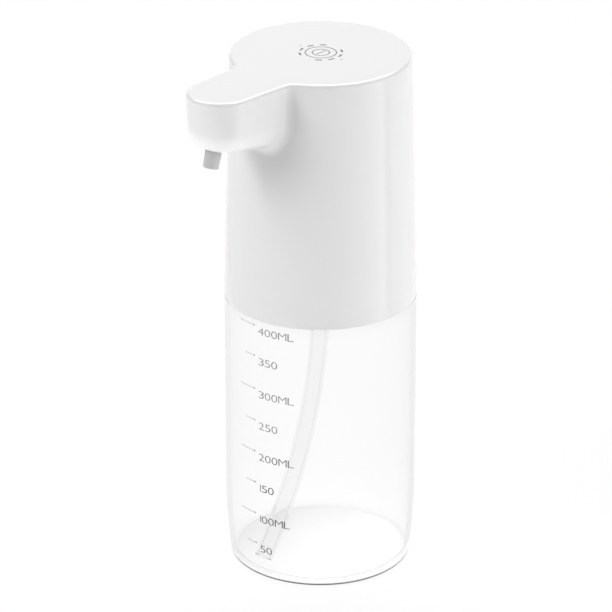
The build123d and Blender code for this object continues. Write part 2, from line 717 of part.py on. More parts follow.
def motor_screw_places():
    """Screws into the motor's face."""
    return [(-GEAR_PITCH_RADIUS, GEAR_Y + side) for side in (-MOTOR_SCREW_RING, MOTOR_SCREW_RING)]


def plate_screw_height():
    """Height of the face that the screws in the head's floor bear on."""
    return PLATE_Z + SCREW_HEAD_HEIGHT + SCREW_HEAD_GAP


def base_seal():
    """Soft ring in the floor's edge."""
    low = (PLATE_Z + PLATE_TOP - SEAL_HEIGHT) / 2
    outer = head_radius(low + SEAL_HEIGHT) - WALL - SEAL_GAP
    return ring(PLATE_RADIUS - SEAL_DEPTH, outer, low + FIT, low + SEAL_HEIGHT - FIT)


def vent_valve():
    """Soft umbrella under the floor that covers the vent holes."""
    disc = rod(VENT_DISC_RADIUS, PLATE_Z - VENT_DISC_THICKNESS, PLATE_Z)
    disc = fillet(round_edges(disc, VENT_DISC_RADIUS, PLATE_Z - VENT_DISC_THICKNESS), VENT_DISC_THICKNESS / 2)
    knob = rod(VENT_KNOB_RADIUS, PLATE_TOP, PLATE_TOP + VENT_KNOB_HEIGHT)
    stem = rod(VENT_STEM_RADIUS, PLATE_Z, PLATE_TOP)
    return Pos(VENT_X, VENT_Y, 0) * (disc + stem + knob)


def ball_height():
    """Height of the check ball's centre on its seat."""
    return PLATE_Z + SEAT_RISE + FIT + math.sqrt(BALL_RADIUS**2 - SPIGOT_BORE**2)


def check_ball():
    """Inlet valve ball on its seat."""
    return Pos(0, 0, ball_height()) * Sphere(BALL_RADIUS)


def dip_tube():
    """Tube from the inlet spigot to the bottle's floor, in one bend turned off the spout's line."""
    drop = TUBE_STRAIGHT_END - TUBE_END_HEIGHT
    bend = 2 * math.atan2(TUBE_END_REACH, drop)
    radius = drop / math.sin(bend)
    middle = bend / 2
    top = PLATE_Z - TUBE_TOP_GAP
    start = (0, 0, TUBE_STRAIGHT_END)
    halfway = (0, radius * (math.cos(middle) - 1), TUBE_STRAIGHT_END - radius * math.sin(middle))
    end = (0, -TUBE_END_REACH, TUBE_END_HEIGHT)
    path = Curve() + [Line((0, 0, top), start), ThreePointArc(start, halfway, end)]
    wall = Pos(0, 0, top) * (Circle(TUBE_RADIUS) - Circle(SPIGOT_RADIUS + FIT))
    return Rot(0, 0, -TUBE_TURN) * sweep(wall, path=path)


def pump_plan(low, high):
    """Outline of the pump's casing between two heights."""
    casing = block(-PUMP_LENGTH / 2, PUMP_LENGTH / 2, PUMP_FRONT, PUMP_BACK, low, high)
    return fillet(casing.edges().filter_by(Axis.Z), PUMP_CORNER_RADIUS)


def pump_cover():
    """Lower plate of the pump."""
    cover = pump_plan(PLATE_TOP, PUMP_Z)
    cover = cover - rod(BALL_CAGE_RADIUS, PLATE_TOP, PUMP_Z)
    for x, y in pump_screw_places():
        cover = cover - rod(SCREW_RADIUS + RUNNING_GAP, PLATE_TOP, PUMP_Z, x, y)
    return cover - rod(IDLER_PIN_RADIUS + FIT, PUMP_Z - IDLER_PIN_EMBED, PUMP_Z, GEAR_PITCH_RADIUS, GEAR_Y)


def pump_body():
    """Pump casing with both gear chambers, the inlet, the outlet and the motor's seat."""
    casing = pump_plan(PUMP_Z, PUMP_TOP)
    casing = casing + rod(HOSE_BORE, PUMP_TOP, PUMP_TOP + OUTLET_SPIGOT_LENGTH, OUTLET_X, OUTLET_Y)
    for x in (-GEAR_PITCH_RADIUS, GEAR_PITCH_RADIUS):
        casing = casing - rod(GEAR_TIP_RADIUS + CHAMBER_GAP, PUMP_Z, CHAMBER_TOP, x, GEAR_Y)
    half = PORT_WIDTH / 2
    casing = casing - block(-half, half, OUTLET_Y - OUTLET_BORE, 0, PUMP_Z, CHAMBER_TOP)
    casing = casing - rod(half, PUMP_Z, CHAMBER_TOP)
    channel_top = PUMP_Z + OUTLET_CHANNEL_HEIGHT
    casing = casing - block(0, OUTLET_X, OUTLET_Y - OUTLET_BORE, OUTLET_Y + OUTLET_BORE, PUMP_Z, channel_top)
    casing = casing - rod(OUTLET_BORE, PUMP_Z, PUMP_TOP + OUTLET_SPIGOT_LENGTH, OUTLET_X, OUTLET_Y)
    casing = casing - rod(
        IDLER_PIN_RADIUS + FIT, CHAMBER_TOP, CHAMBER_TOP + IDLER_PIN_EMBED, GEAR_PITCH_RADIUS, GEAR_Y
    )
    shaft_hole = SHAFT_RADIUS + CHAMBER_GAP
    casing = casing - rod(shaft_hole, CHAMBER_TOP, PUMP_TOP, -GEAR_PITCH_RADIUS, GEAR_Y)
    casing = casing - rod(
        SHAFT_SEAL_RADIUS, PUMP_TOP - SHAFT_SEAL_HEIGHT, PUMP_TOP, -GEAR_PITCH_RADIUS, GEAR_Y
    )
    tap_top = plate_screw_height() + PUMP_SCREW_LENGTH + FIT
    for x, y in pump_screw_places():
        casing = casing - rod(SCREW_RADIUS + FIT, PUMP_Z, tap_top, x, y)
    for x, y in motor_screw_places():
        casing = casing - rod(SMALL_SCREW_RADIUS + RUNNING_GAP, PUMP_Z, PUMP_TOP, x, y)
        casing = casing - rod(SMALL_SCREW_HEAD_RADIUS + SCREW_HEAD_GAP, PUMP_Z, CHAMBER_TOP, x, y)
    return casing


def gear_outline():
    """Spur gear outline with involute flanks, one tooth towards +X."""
    pressure = math.radians(GEAR_PRESSURE_ANGLE)
    base = GEAR_PITCH_RADIUS * math.cos(pressure)
    root = GEAR_PITCH_RADIUS - GEAR_DEDENDUM
    half_pitch = math.pi / (2 * GEAR_TEETH) - GEAR_BACKLASH / (2 * GEAR_PITCH_RADIUS)

    def half_angle(radius):
        turn = math.acos(min(1, base / radius))
        return half_pitch + math.tan(pressure) - pressure - math.tan(turn) + turn

    def place(radius, angle):
        return (radius * math.cos(angle), radius * math.sin(angle))

    step = (GEAR_TIP_RADIUS - base) / (GEAR_FLANK_POINTS - 1)
    radii = [base + step * index for index in range(GEAR_FLANK_POINTS)]
    edges = []
    for tooth in range(GEAR_TEETH):
        middle = 2 * math.pi * tooth / GEAR_TEETH
        gap = middle + math.pi / GEAR_TEETH
        rising = [place(radius, middle - half_angle(radius)) for radius in radii]
        falling = [place(radius, middle + half_angle(radius)) for radius in reversed(radii)]
        foot = middle - half_angle(base)
        heel = middle + half_angle(base)
        next_foot = 2 * gap - heel
        edges.append(Line(place(root, foot), rising[0]))
        edges.append(Spline(*rising))
        edges.append(ThreePointArc(rising[-1], place(GEAR_TIP_RADIUS, middle), falling[0]))
        edges.append(Spline(*falling))
        edges.append(Line(falling[-1], place(root, heel)))
        edges.append(ThreePointArc(place(root, heel), place(root, gap), place(root, next_foot)))
    return make_face(edges)


def gear(bore, x, turn):
    """Pump gear in its chamber."""
    wheel = extrude(gear_outline(), GEAR_HEIGHT) - rod(bore, 0, GEAR_HEIGHT)
    return Pos(x, GEAR_Y, PUMP_Z + CHAMBER_END_GAP) * Rot(0, 0, turn) * wheel


def idler_pin():
    """Fixed pin under the driven gear."""
    return rod(
        IDLER_PIN_RADIUS, PUMP_Z - IDLER_PIN_EMBED, CHAMBER_TOP + IDLER_PIN_EMBED, GEAR_PITCH_RADIUS, GEAR_Y
    )


def shaft_seal():
    """Lip ring round the motor's shaft."""
    return ring(
        SHAFT_RADIUS + RUNNING_GAP,
        SHAFT_SEAL_RADIUS - FIT,
        PUMP_TOP - SHAFT_SEAL_HEIGHT,
        PUMP_TOP,
        -GEAR_PITCH_RADIUS,
        GEAR_Y,
    )


def on_motor(shape):
    """A piece turned about the origin, moved to the motor's axis and seat."""
    return Pos(-GEAR_PITCH_RADIUS, GEAR_Y, PUMP_TOP) * shape


def motor_can():
    """Drawn steel can of the motor."""
    can = rod(MOTOR_RADIUS, 0, MOTOR_LENGTH)
    can = fillet(round_edges(can, MOTOR_RADIUS, 0), MOTOR_EDGE_RADIUS)
    can = can - rod(MOTOR_BORE, MOTOR_FACE, MOTOR_LENGTH) - rod(SHAFT_RADIUS + RUNNING_GAP, 0, MOTOR_FACE)
    for side in (-MOTOR_SCREW_RING, MOTOR_SCREW_RING):
        can = can - rod(SMALL_SCREW_RADIUS + FIT, 0, MOTOR_FACE, 0, side)
    return on_motor(can)


def motor_end_cap():
    """Moulded rear cap of the motor."""
    cap = rod(MOTOR_RADIUS, MOTOR_LENGTH, MOTOR_LENGTH + MOTOR_CAP_THICKNESS)
    cap = fillet(
        round_edges(cap, MOTOR_RADIUS, MOTOR_LENGTH + MOTOR_CAP_THICKNESS), MOTOR_EDGE_RADIUS
    )
    cap = cap + rod(MOTOR_BORE - FIT, MOTOR_LENGTH - MOTOR_CAP_PLUG, MOTOR_LENGTH)
    high = MOTOR_LENGTH + MOTOR_CAP_THICKNESS
    return on_motor(cap - rod(SHAFT_RADIUS + RUNNING_GAP, MOTOR_LENGTH - MOTOR_CAP_PLUG, high))


def motor_magnets():
    """Two curved magnets in the can."""
    outer = MOTOR_BORE - FIT
    foot = sector(outer - MAGNET_THICKNESS, outer, -MAGNET_SPAN / 2, MAGNET_SPAN / 2)
    arc = Pos(0, 0, MAGNET_RISE) * extrude(foot, MAGNET_LENGTH)
    return solid_group([on_motor(arc), on_motor(Rot(0, 0, 180) * arc)])


def motor_rotor():
    """Slotted armature on the shaft."""
    low = MAGNET_RISE
    high = MAGNET_RISE + MAGNET_LENGTH
    core = ring(SHAFT_RADIUS + FIT, ROTOR_RADIUS, low, high)
    half = ROTOR_SLOT_WIDTH / 2
    for index in range(ROTOR_SLOTS):
        slot = block(ROTOR_RADIUS - ROTOR_SLOT_DEPTH, MOTOR_RADIUS, -half, half, low, high)
        core = core - Rot(0, 0, 360 / ROTOR_SLOTS * index) * slot
    return on_motor(core)


def motor_shaft():
    """Shaft from the drive gear through the motor."""
    low = PUMP_Z + SHAFT_END_GAP - PUMP_TOP
    return on_motor(rod(SHAFT_RADIUS, low, MOTOR_LENGTH + MOTOR_CAP_THICKNESS + SHAFT_TAIL))


def motor_screws():
    """Screws from the pump's underside into the motor's face."""
    length = PUMP_TOP - CHAMBER_TOP + MOTOR_SCREW_GRIP
    return screw_set(motor_screw_places(), CHAMBER_TOP, small_screw(length))


def hose_height():
    """Height of the hose's run into the spout."""
    return (nozzle_plane() * Pos(0, 0, ELBOW_PORT_RISE)).position.Z


def outlet_hose():
    """Soft hose from the pump's outlet up and forward to the elbow."""
    low = PUMP_TOP + HOSE_START_RISE
    run = hose_height()
    path = FilletPolyline(
        (OUTLET_X, OUTLET_Y, low),
        (OUTLET_X, OUTLET_Y, run),
        (0, HOSE_LAST_BEND, run),
        (0, ELBOW_BARB_END - HOSE_OVERLAP, run),
        radius=HOSE_BEND_RADIUS,
    )
    wall = Pos(OUTLET_X, OUTLET_Y, low) * (Circle(HOSE_RADIUS) - Circle(HOSE_BORE + FIT))
    return sweep(wall, path=path)


def nozzle():
    """Grey soft outlet tip, held by a flange inside the spout."""
    tip = Pos(0, 0, -NOZZLE_LENGTH) * Cone(NOZZLE_TIP_RADIUS, NOZZLE_RADIUS, NOZZLE_LENGTH, align=UP)
    tip = fillet(round_edges(tip, NOZZLE_TIP_RADIUS, -NOZZLE_LENGTH), NOZZLE_TIP_EDGE)
    high = NOZZLE_BOSS_TOP + NOZZLE_FLANGE_THICKNESS
    tip = tip + rod(NOZZLE_RADIUS, 0, NOZZLE_BOSS_TOP)
    tip = tip + rod(NOZZLE_FLANGE_RADIUS, NOZZLE_BOSS_TOP, high)
    return nozzle_plane() * (tip - rod(NOZZLE_BORE, -NOZZLE_LENGTH, high))


def nozzle_elbow():
    """Rigid elbow that turns the hose's flow down into the nozzle."""
    high = NOZZLE_BOSS_TOP + ELBOW_HEIGHT
    cap = nozzle_plane() * rod(ELBOW_RADIUS, NOZZLE_BOSS_TOP, high)
    run = hose_height()
    port_y = (nozzle_plane() * Pos(0, 0, ELBOW_PORT_RISE)).position.Y
    length = ELBOW_BARB_END - port_y
    along = Pos(0, port_y + length / 2, run) * Rot(90, 0, 0)
    elbow = cap + along * Cylinder(HOSE_BORE, length)
    seat_top = NOZZLE_BOSS_TOP + NOZZLE_FLANGE_THICKNESS + FIT
    elbow = elbow - nozzle_plane() * rod(NOZZLE_FLANGE_RADIUS + FIT, NOZZLE_BOSS_TOP, seat_top)
    elbow = elbow - nozzle_plane() * rod(NOZZLE_BORE, NOZZLE_BOSS_TOP, ELBOW_PORT_RISE)
    return elbow - along * Cylinder(OUTLET_BORE, length)


def sensor_lens():
    """Dark window of the hand sensor."""
    return sensor_plane() * rod(SENSOR_LENS_RADIUS, SENSOR_LENS_RECESS, SENSOR_LENS_TOP)


def sensor_board():
    """Small board with the sensor's two eyes."""
    half_width = SENSOR_BOARD_WIDTH / 2
    half_length = SENSOR_BOARD_LENGTH / 2
    high = SENSOR_BOSS_TOP + SENSOR_BOARD_THICKNESS
    board = block(-half_width, half_width, -half_length, half_length, SENSOR_BOSS_TOP, high)
    for x in (-SENSOR_EYE_SPACING / 2, SENSOR_EYE_SPACING / 2):
        board = board + rod(SENSOR_EYE_RADIUS, SENSOR_BOSS_TOP - SENSOR_EYE_HEIGHT, SENSOR_BOSS_TOP, x)
    return sensor_plane() * board


def touch_board():
    """Round board of the touch key."""
    board = rod(TOUCH_BOARD_RADIUS, TOUCH_Z, TOUCH_Z + TOUCH_BOARD_THICKNESS)
    for x in (-TOUCH_POST_X, TOUCH_POST_X):
        board = board - rod(SMALL_SCREW_RADIUS + RUNNING_GAP, TOUCH_Z, TOUCH_Z + TOUCH_BOARD_THICKNESS, x)
    return board


def touch_pad():
    """Foam pad that carries the touch key's field to the top."""
    return rod(TOUCH_PAD_RADIUS, TOUCH_Z + TOUCH_BOARD_THICKNESS, CEILING_Z)


def light_ring():
    """Light guide round the touch pad."""
    return ring(LIGHT_RING_INNER, LIGHT_RING_OUTER, TOUCH_Z + TOUCH_BOARD_THICKNESS, CEILING_Z)


def touch_screws():
    """Screws that hold the touch board."""
    places = [(x, 0) for x in (-TOUCH_POST_X, TOUCH_POST_X)]
    return screw_set(places, TOUCH_Z, small_screw(TOUCH_SCREW_LENGTH))


def control_board():
    """Upright control board in the floor's rails."""
    high = PLATE_TOP + BOARD_HEIGHT
    return block(BOARD_X, BOARD_X + BOARD_THICKNESS, BOARD_FRONT, BOARD_BACK, PLATE_TOP, high)


def control_chips():
    """Chips and a coil on the control board."""
    chips = []
    for rise in CHIP_RISES:
        low = PLATE_TOP + rise
        half = CHIP_SIZE / 2
        chips.append(block(BOARD_X - CHIP_THICKNESS, BOARD_X, -half, half, low, low + CHIP_SIZE))
    half = COIL_SIZE / 2
    low = PLATE_TOP + COIL_RISE
    chips.append(block(BOARD_X - COIL_THICKNESS, BOARD_X, -half, half, low, low + COIL_SIZE))
    return solid_group(chips)


def battery_cell():
    """Round rechargeable cell."""
    cell = rod(CELL_RADIUS, CELL_Z, CELL_Z + CELL_LENGTH)
    ends = round_edges(cell, CELL_RADIUS, CELL_Z) + round_edges(cell, CELL_RADIUS, CELL_Z + CELL_LENGTH)
    cell = fillet(ends, CELL_EDGE_RADIUS)
    button_top = CELL_Z + CELL_LENGTH + CELL_BUTTON_HEIGHT
    return Pos(0, CELL_Y, 0) * (cell + rod(CELL_BUTTON_RADIUS, CELL_Z + CELL_LENGTH, button_top))


def battery_cradle():
    """Open sleeve for the cell on a leg that is screwed to the floor."""
    bore = CELL_RADIUS + CRADLE_GAP
    sleeve = ring(bore, CRADLE_RADIUS, CELL_Z, CELL_Z + CRADLE_HEIGHT, 0, CELL_Y)
    half = CRADLE_MOUTH / 2
    sleeve = sleeve - block(-half, half, CELL_Y - CRADLE_RADIUS, CELL_Y, CELL_Z, CELL_Z + CRADLE_HEIGHT)
    low = CELL_Z - CRADLE_FLOOR
    front = CELL_Y - CRADLE_LEG_FRONT
    floor = rod(CRADLE_RADIUS, low, CELL_Z, 0, CELL_Y)
    floor = floor - block(-CRADLE_RADIUS, CRADLE_RADIUS, CELL_Y - CRADLE_RADIUS, front, low, CELL_Z)
    leg = block(-CRADLE_LEG_HALF, CRADLE_LEG_HALF, front, CELL_Y + CRADLE_LEG_BACK, PLATE_TOP, low)
    cradle = sleeve + floor + leg
    tap_top = plate_screw_height() + CRADLE_SCREW_LENGTH + FIT
    for x, y in cradle_screw_places():
        cradle = cradle - rod(SCREW_RADIUS + FIT, PLATE_TOP, tap_top, x, y)
    return cradle


def charge_board():
    """Board under the charging socket."""
    half = CHARGE_BOARD_WIDTH / 2
    return block(
        -half, half, CHARGE_BOARD_FRONT, CHARGE_BOARD_BACK, CHARGE_Z - CHARGE_BOARD_THICKNESS, CHARGE_Z
    )


def charge_port():
    """Metal charging socket with its tongue."""
    width = PORT_SOCKET_WIDTH
    height = PORT_SOCKET_HEIGHT
    can = block(-width / 2, width / 2, PORT_SOCKET_FRONT, PORT_SOCKET_MOUTH, CHARGE_Z, CHARGE_Z + height)
    can = fillet(can.edges().filter_by(Axis.Y), height / 2 - FIT)
    wall = PORT_SOCKET_WALL
    room = block(
        wall - width / 2,
        width / 2 - wall,
        PORT_SOCKET_FRONT + 2 * wall,
        PORT_SOCKET_MOUTH,
        CHARGE_Z + wall,
        CHARGE_Z + height - wall,
    )
    room = fillet(room.edges().filter_by(Axis.Y), height / 2 - wall - FIT)
    tongue = block(
        -PORT_TONGUE_WIDTH / 2,
        PORT_TONGUE_WIDTH / 2,
        PORT_SOCKET_FRONT + wall,
        PORT_SOCKET_MOUTH - PORT_TONGUE_SETBACK,
        PORT_Z - PORT_TONGUE_THICKNESS / 2,
        PORT_Z + PORT_TONGUE_THICKNESS / 2,
    )
    return can - room + tongue


def port_cover():
    """Soft flap over the charging socket, hinged along its top edge."""
    face = flap_space(0) & head_cone(0, BOTTLE_HEIGHT, TOP_Z)
    front = flap_recess_floor() + FLAP_FLOOR_GAP
    half = PORT_SOCKET_WIDTH / 2 - PORT_OPENING_GAP
    rise = PORT_SOCKET_HEIGHT / 2 - PORT_OPENING_GAP
    plug = block(-half, half, front - FLAP_PLUG_DEPTH, front, PORT_Z - rise, PORT_Z + rise)
    return face + hinge_bar(0) + plug


def wire(points):
    """Round wire along straight runs with tangent bends."""
    path = FilletPolyline(*points, radius=WIRE_BEND_RADIUS)
    start = Plane(origin=path @ 0, z_dir=path % 0)
    return sweep(start * Circle(WIRE_RADIUS), path=path)


def motor_leads():
    """Wires from the motor's cap to the control board."""
    low = MOTOR_TOP + MOTOR_CAP_THICKNESS + WIRE_GAP
    wires = []
    for side, rise in zip((MOTOR_WIRE_X, -MOTOR_WIRE_X), MOTOR_WIRE_RISES):
        x = side - GEAR_PITCH_RADIUS
        points = [(x, GEAR_Y, low), (x, GEAR_Y, low + rise), (BOARD_X - WIRE_GAP, GEAR_Y, low + rise)]
        wires.append(wire(points))
    return solid_group(wires)


def battery_leads():
    """Wires from the cell's top to the control board's upper edge."""
    low = CELL_Z + CELL_LENGTH + CELL_BUTTON_HEIGHT + WIRE_GAP
    board_top = PLATE_TOP + BOARD_HEIGHT + WIRE_GAP
    board_middle = BOARD_X + BOARD_THICKNESS / 2
    wires = []
    high = max(low, board_top) + CELL_WIRE_RISE
    for x, inset in zip((-CELL_WIRE_X, CELL_WIRE_X), CELL_WIRE_INSETS):
        y = BOARD_BACK - inset
        points = [(x, CELL_Y, low), (x, CELL_Y, high), (board_middle, y, high), (board_middle, y, board_top)]
        wires.append(wire(points))
    return solid_group(wires)


def write_parts():
    """Every piece in its own file."""
    half_tooth = 180 / GEAR_TEETH
    screw_height = plate_screw_height()
    pieces = {
        "bottle": bottle(),
        "bottle_gasket": bottle_gasket(),
        "head_shell": head_shell(),
        "base_plate": base_plate(),
        "base_screws": screw_set(boss_places(), screw_height, large_screw(BASE_SCREW_LENGTH)),
        "base_seal": base_seal(),
        "vent_valve": vent_valve(),
        "check_ball": check_ball(),
        "dip_tube": dip_tube(),
        "pump_cover": pump_cover(),
        "pump_body": pump_body(),
        "pump_screws": screw_set(pump_screw_places(), screw_height, large_screw(PUMP_SCREW_LENGTH)),
        "drive_gear": gear(SHAFT_RADIUS + FIT, -GEAR_PITCH_RADIUS, 0),
        "idler_gear": gear(IDLER_PIN_RADIUS + RUNNING_GAP, GEAR_PITCH_RADIUS, half_tooth),
        "idler_pin": idler_pin(),
        "shaft_seal": shaft_seal(),
        "motor_can": motor_can(),
        "motor_end_cap": motor_end_cap(),
        "motor_magnets": motor_magnets(),
        "motor_rotor": motor_rotor(),
        "motor_shaft": motor_shaft(),
        "motor_screws": motor_screws(),
        "outlet_hose": outlet_hose(),
        "nozzle": nozzle(),
        "nozzle_elbow": nozzle_elbow(),
        "sensor_lens": sensor_lens(),
        "sensor_board": sensor_board(),
        "touch_board": touch_board(),
        "touch_pad": touch_pad(),
        "light_ring": light_ring(),
        "touch_screws": touch_screws(),
        "control_board": control_board(),
        "control_chips": control_chips(),
        "battery_cell": battery_cell(),
        "battery_cradle": battery_cradle(),
        "cradle_screws": screw_set(cradle_screw_places(), screw_height, large_screw(CRADLE_SCREW_LENGTH)),
        "charge_board": charge_board(),
        "charge_port": charge_port(),
        "port_cover": port_cover(),
        "motor_leads": motor_leads(),
        "battery_leads": battery_leads(),
    }
    os.makedirs("parts", exist_ok=True)
    for name, shape in pieces.items():
        export_step(shape, f"parts/{name}.step")


if __name__ == "__main__":
    write_parts()
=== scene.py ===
import math
from typing import NamedTuple

import bmesh
import bpy
from bpy.props import FloatProperty, FloatVectorProperty, IntProperty, PointerProperty
from bpy.types import NodeSocket, Operator, Panel, PropertyGroup
from mathutils import Matrix, Vector


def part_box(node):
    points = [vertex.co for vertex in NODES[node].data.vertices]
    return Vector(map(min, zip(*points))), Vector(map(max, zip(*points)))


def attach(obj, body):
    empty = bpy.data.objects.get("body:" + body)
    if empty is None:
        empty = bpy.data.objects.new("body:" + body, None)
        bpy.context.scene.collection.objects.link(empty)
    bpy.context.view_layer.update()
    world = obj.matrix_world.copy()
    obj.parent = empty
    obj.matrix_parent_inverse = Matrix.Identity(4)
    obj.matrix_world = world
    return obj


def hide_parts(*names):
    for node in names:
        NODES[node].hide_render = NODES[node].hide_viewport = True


bl_info = {
    "name": "Soap dispenser",
    "version": (1, 0, 0),
    "blender": (4, 5, 0),
    "location": "3D View > Sidebar > Dispenser",
    "description": "Finishes, printed scale, touch symbol and studio for a soap dispenser",
    "category": "Object",
}

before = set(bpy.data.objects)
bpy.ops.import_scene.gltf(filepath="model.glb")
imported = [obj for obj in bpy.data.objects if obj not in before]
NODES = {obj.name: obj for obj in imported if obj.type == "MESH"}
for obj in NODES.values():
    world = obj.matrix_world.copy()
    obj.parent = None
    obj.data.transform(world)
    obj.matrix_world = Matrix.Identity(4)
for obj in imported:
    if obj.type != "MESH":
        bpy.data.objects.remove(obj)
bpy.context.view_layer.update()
BOTTLE_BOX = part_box("bottle")
HEAD_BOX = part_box("head_shell")

# The bottle's side: straight above the curve, drawn in towards the base below it
SIDE_RADIUS = BOTTLE_BOX[1].x
BASE_CURVE_HEIGHT = 0.030
BASE_DRAW_IN = 0.0019

# Labels of the volume scale and the heights of their marks, and the heights between which the ink pales
SCALE_MARKS = (
    ("50", 0.01440),
    ("100ML", 0.02754),
    ("150", 0.04068),
    ("200ML", 0.05382),
    ("250", 0.06696),
    ("300ML", 0.08010),
    ("350", 0.09380),
    ("400ML", 0.10638),
)
PALE_START = SCALE_MARKS[2][1]
PALE_END = SCALE_MARKS[4][1]

# Widths of the scale's digits and letters, how far their strokes are thinned, and half their raw depth
DIGIT_WIDTH = 0.00255
GLYPH_WIDTHS = {"1": 0.0009, "M": 0.0034, "L": 0.0025}
INK_THINNING = -0.008
GLYPH_HALF = 0.5

# Rows of faces up the side of the foam pad
PAD_STEPS = 8

# Turns of the symbol's outer dashes, from the back of the head
DASH_TURNS = (36, 72, 108, 144, -36, -72, -108, -144)

# Clear plastic of the bottle and the tube: how fast their walls grey and how they refract, the walls' grey,
# the tint of light that passes straight through, and the count of mirrored bounces from which it does
BOTTLE_DENSITY = 22.0
BOTTLE_IOR = 1.06
TUBE_DENSITY = 36.0
TUBE_IOR = 1.03
WALL_GREY = (0.5, 0.5, 0.5, 1.0)
THROUGH_TINT = (0.96, 0.96, 0.96, 1.0)
MIRRORED_ONCE = 0.5

# Patterns of the materials: scale and detail of their noise
MOTTLE = (28.0, 3.0)
MARKS = (75.0, 4.0)
DULL_PATCHES = (220.0, 3.0)
FLOW = (55.0, 1.0)
FINE_WEAR = (60.0, 3.0)
LACQUER = (300.0, 2.0)
WORN_INK = (350.0, 2.0)
GRAIN_DETAIL = 2.0

# Stretches of the drawn lines in metal and the flow waves in clear plastic, and of a place seen from above
DRAWN_STRETCH = (1.0, 1.0, 0.04)
FLOW_STRETCH = (1.0, 1.0, 0.15)
FLATTENED = (1.0, 1.0, 0.0)

# Ranges of patterns and of the roughness that they give
UNIT = (0.0, 1.0)
MARKS_RANGE = (0.3, 0.7)
CLEAR_ROUGHNESS = (0.0, 0.03)
LACQUER_ROUGHNESS = (0.25, 0.45)
FOAM_ROUGHNESS = 0.95
WORN_RANGE = (0.3, 0.6)
WORN_COVER = (0.6, 1.0)

# Strengths and depths of the bumps
GRAIN_BUMP = 0.4
FLOW_BUMP = 0.15
FLOW_DEPTH = 0.00012
TRACK_BUMP = 0.5
TRACK_DEPTH = 0.00003
CELL_DEPTH = 0.0002

# Circuit tracks, foam cells and steel sheets: their scales, the tracks' width and the darker tones
TRACK_SCALE = 420.0
TRACK_WIDTH = 0.09
CELL_SCALE = 1800.0
CELL_TONE = 0.45
SHEET_SCALE = 320.0
SHEET_TONE = 0.35

# Softboxes, named as their power is: turn, distance and height, width and height, and if gloss shows them
SOFTBOXES = (
    ("top", (222, 0.7, 1.65), (1.0, 1.0), True),
    ("front", (-15, 1.2, 1.1), (0.7, 0.9), False),
    ("right", (128, 1.5, 0.5), (0.7, 1.4), False),
    ("low", (82, 1.4, 0.3), (0.7, 0.7), False),
)
STUDIO_AIM = (0, 0, 0.1)

# The dark card before the spout and the bright card at the side: turn, distance and height, aim and size
DARK_CARD_PLACE = (35, 1.0, 0.85)
DARK_CARD_AIM = (0, 0, 0.15)
DARK_CARD_SIZE = (1.5, 1.1)
DARK_CARD_TINT = (0.05, 0.05, 0.05, 1.0)
DARK_CARD_ROUGHNESS = 0.9
BRIGHT_CARD_PLACE = (93, 0.22, 0.1)
BRIGHT_CARD_SIZE = (0.24, 0.2)

# The studio's dark wall and bright arch, which only gloss shows: their start and turn about the object,
# and the radius and height of their lower and upper edges
WALL_START = -110
WALL_TURN = 300
WALL_FOOT = (2.5, 0.25)
WALL_HEAD = (2.5, 3.5)
ARCH_START = 130
ARCH_TURN = 185
ARCH_FOOT = (1.6, 1.5)
ARCH_HEAD = (0.6, 2.2)
WALL_STEPS = 60

# The small lamp that lights the spout's underside: place, aim, cone, softness of the cone's edge and size
KICKER_PLACE = (0.0, -0.085, 0.003)
KICKER_AIM = (0.0, -0.058, 0.2)
KICKER_CONE = 16
KICKER_BLEND = 0.6
KICKER_SIZE = 0.01

# Where the floor's painted shadow starts, as a share of its radius towards the light
SHADE_START = 0.25

# The camera: lens and sensor in millimetres, turn from the spout's side, distance from the axis, height,
# and how far it looks down, in degrees, and aside, in radians
CAMERA_LENS = 245.97
CAMERA_SENSOR = 36.0
CAMERA_TURN = 42.4
CAMERA_DISTANCE = 1.4487
CAMERA_HEIGHT = 0.7581
CAMERA_DROP = 24.367
CAMERA_ASIDE = 0.0038

WHITE = (1.0, 1.0, 1.0, 1.0)


class Finish(NamedTuple):
    """Finish of a plastic, rubber or metal"""

    tint: str  # name of its colour
    tone: float  # brightness of its darker patches
    smooth: float  # roughness of its smoothest patches
    rough: float  # roughness of its dullest patches
    grain: float  # scale of its grain
    depth: float  # depth of its grain
    ior: float = 1.5
    clear: float = 0.0  # share of light that passes through


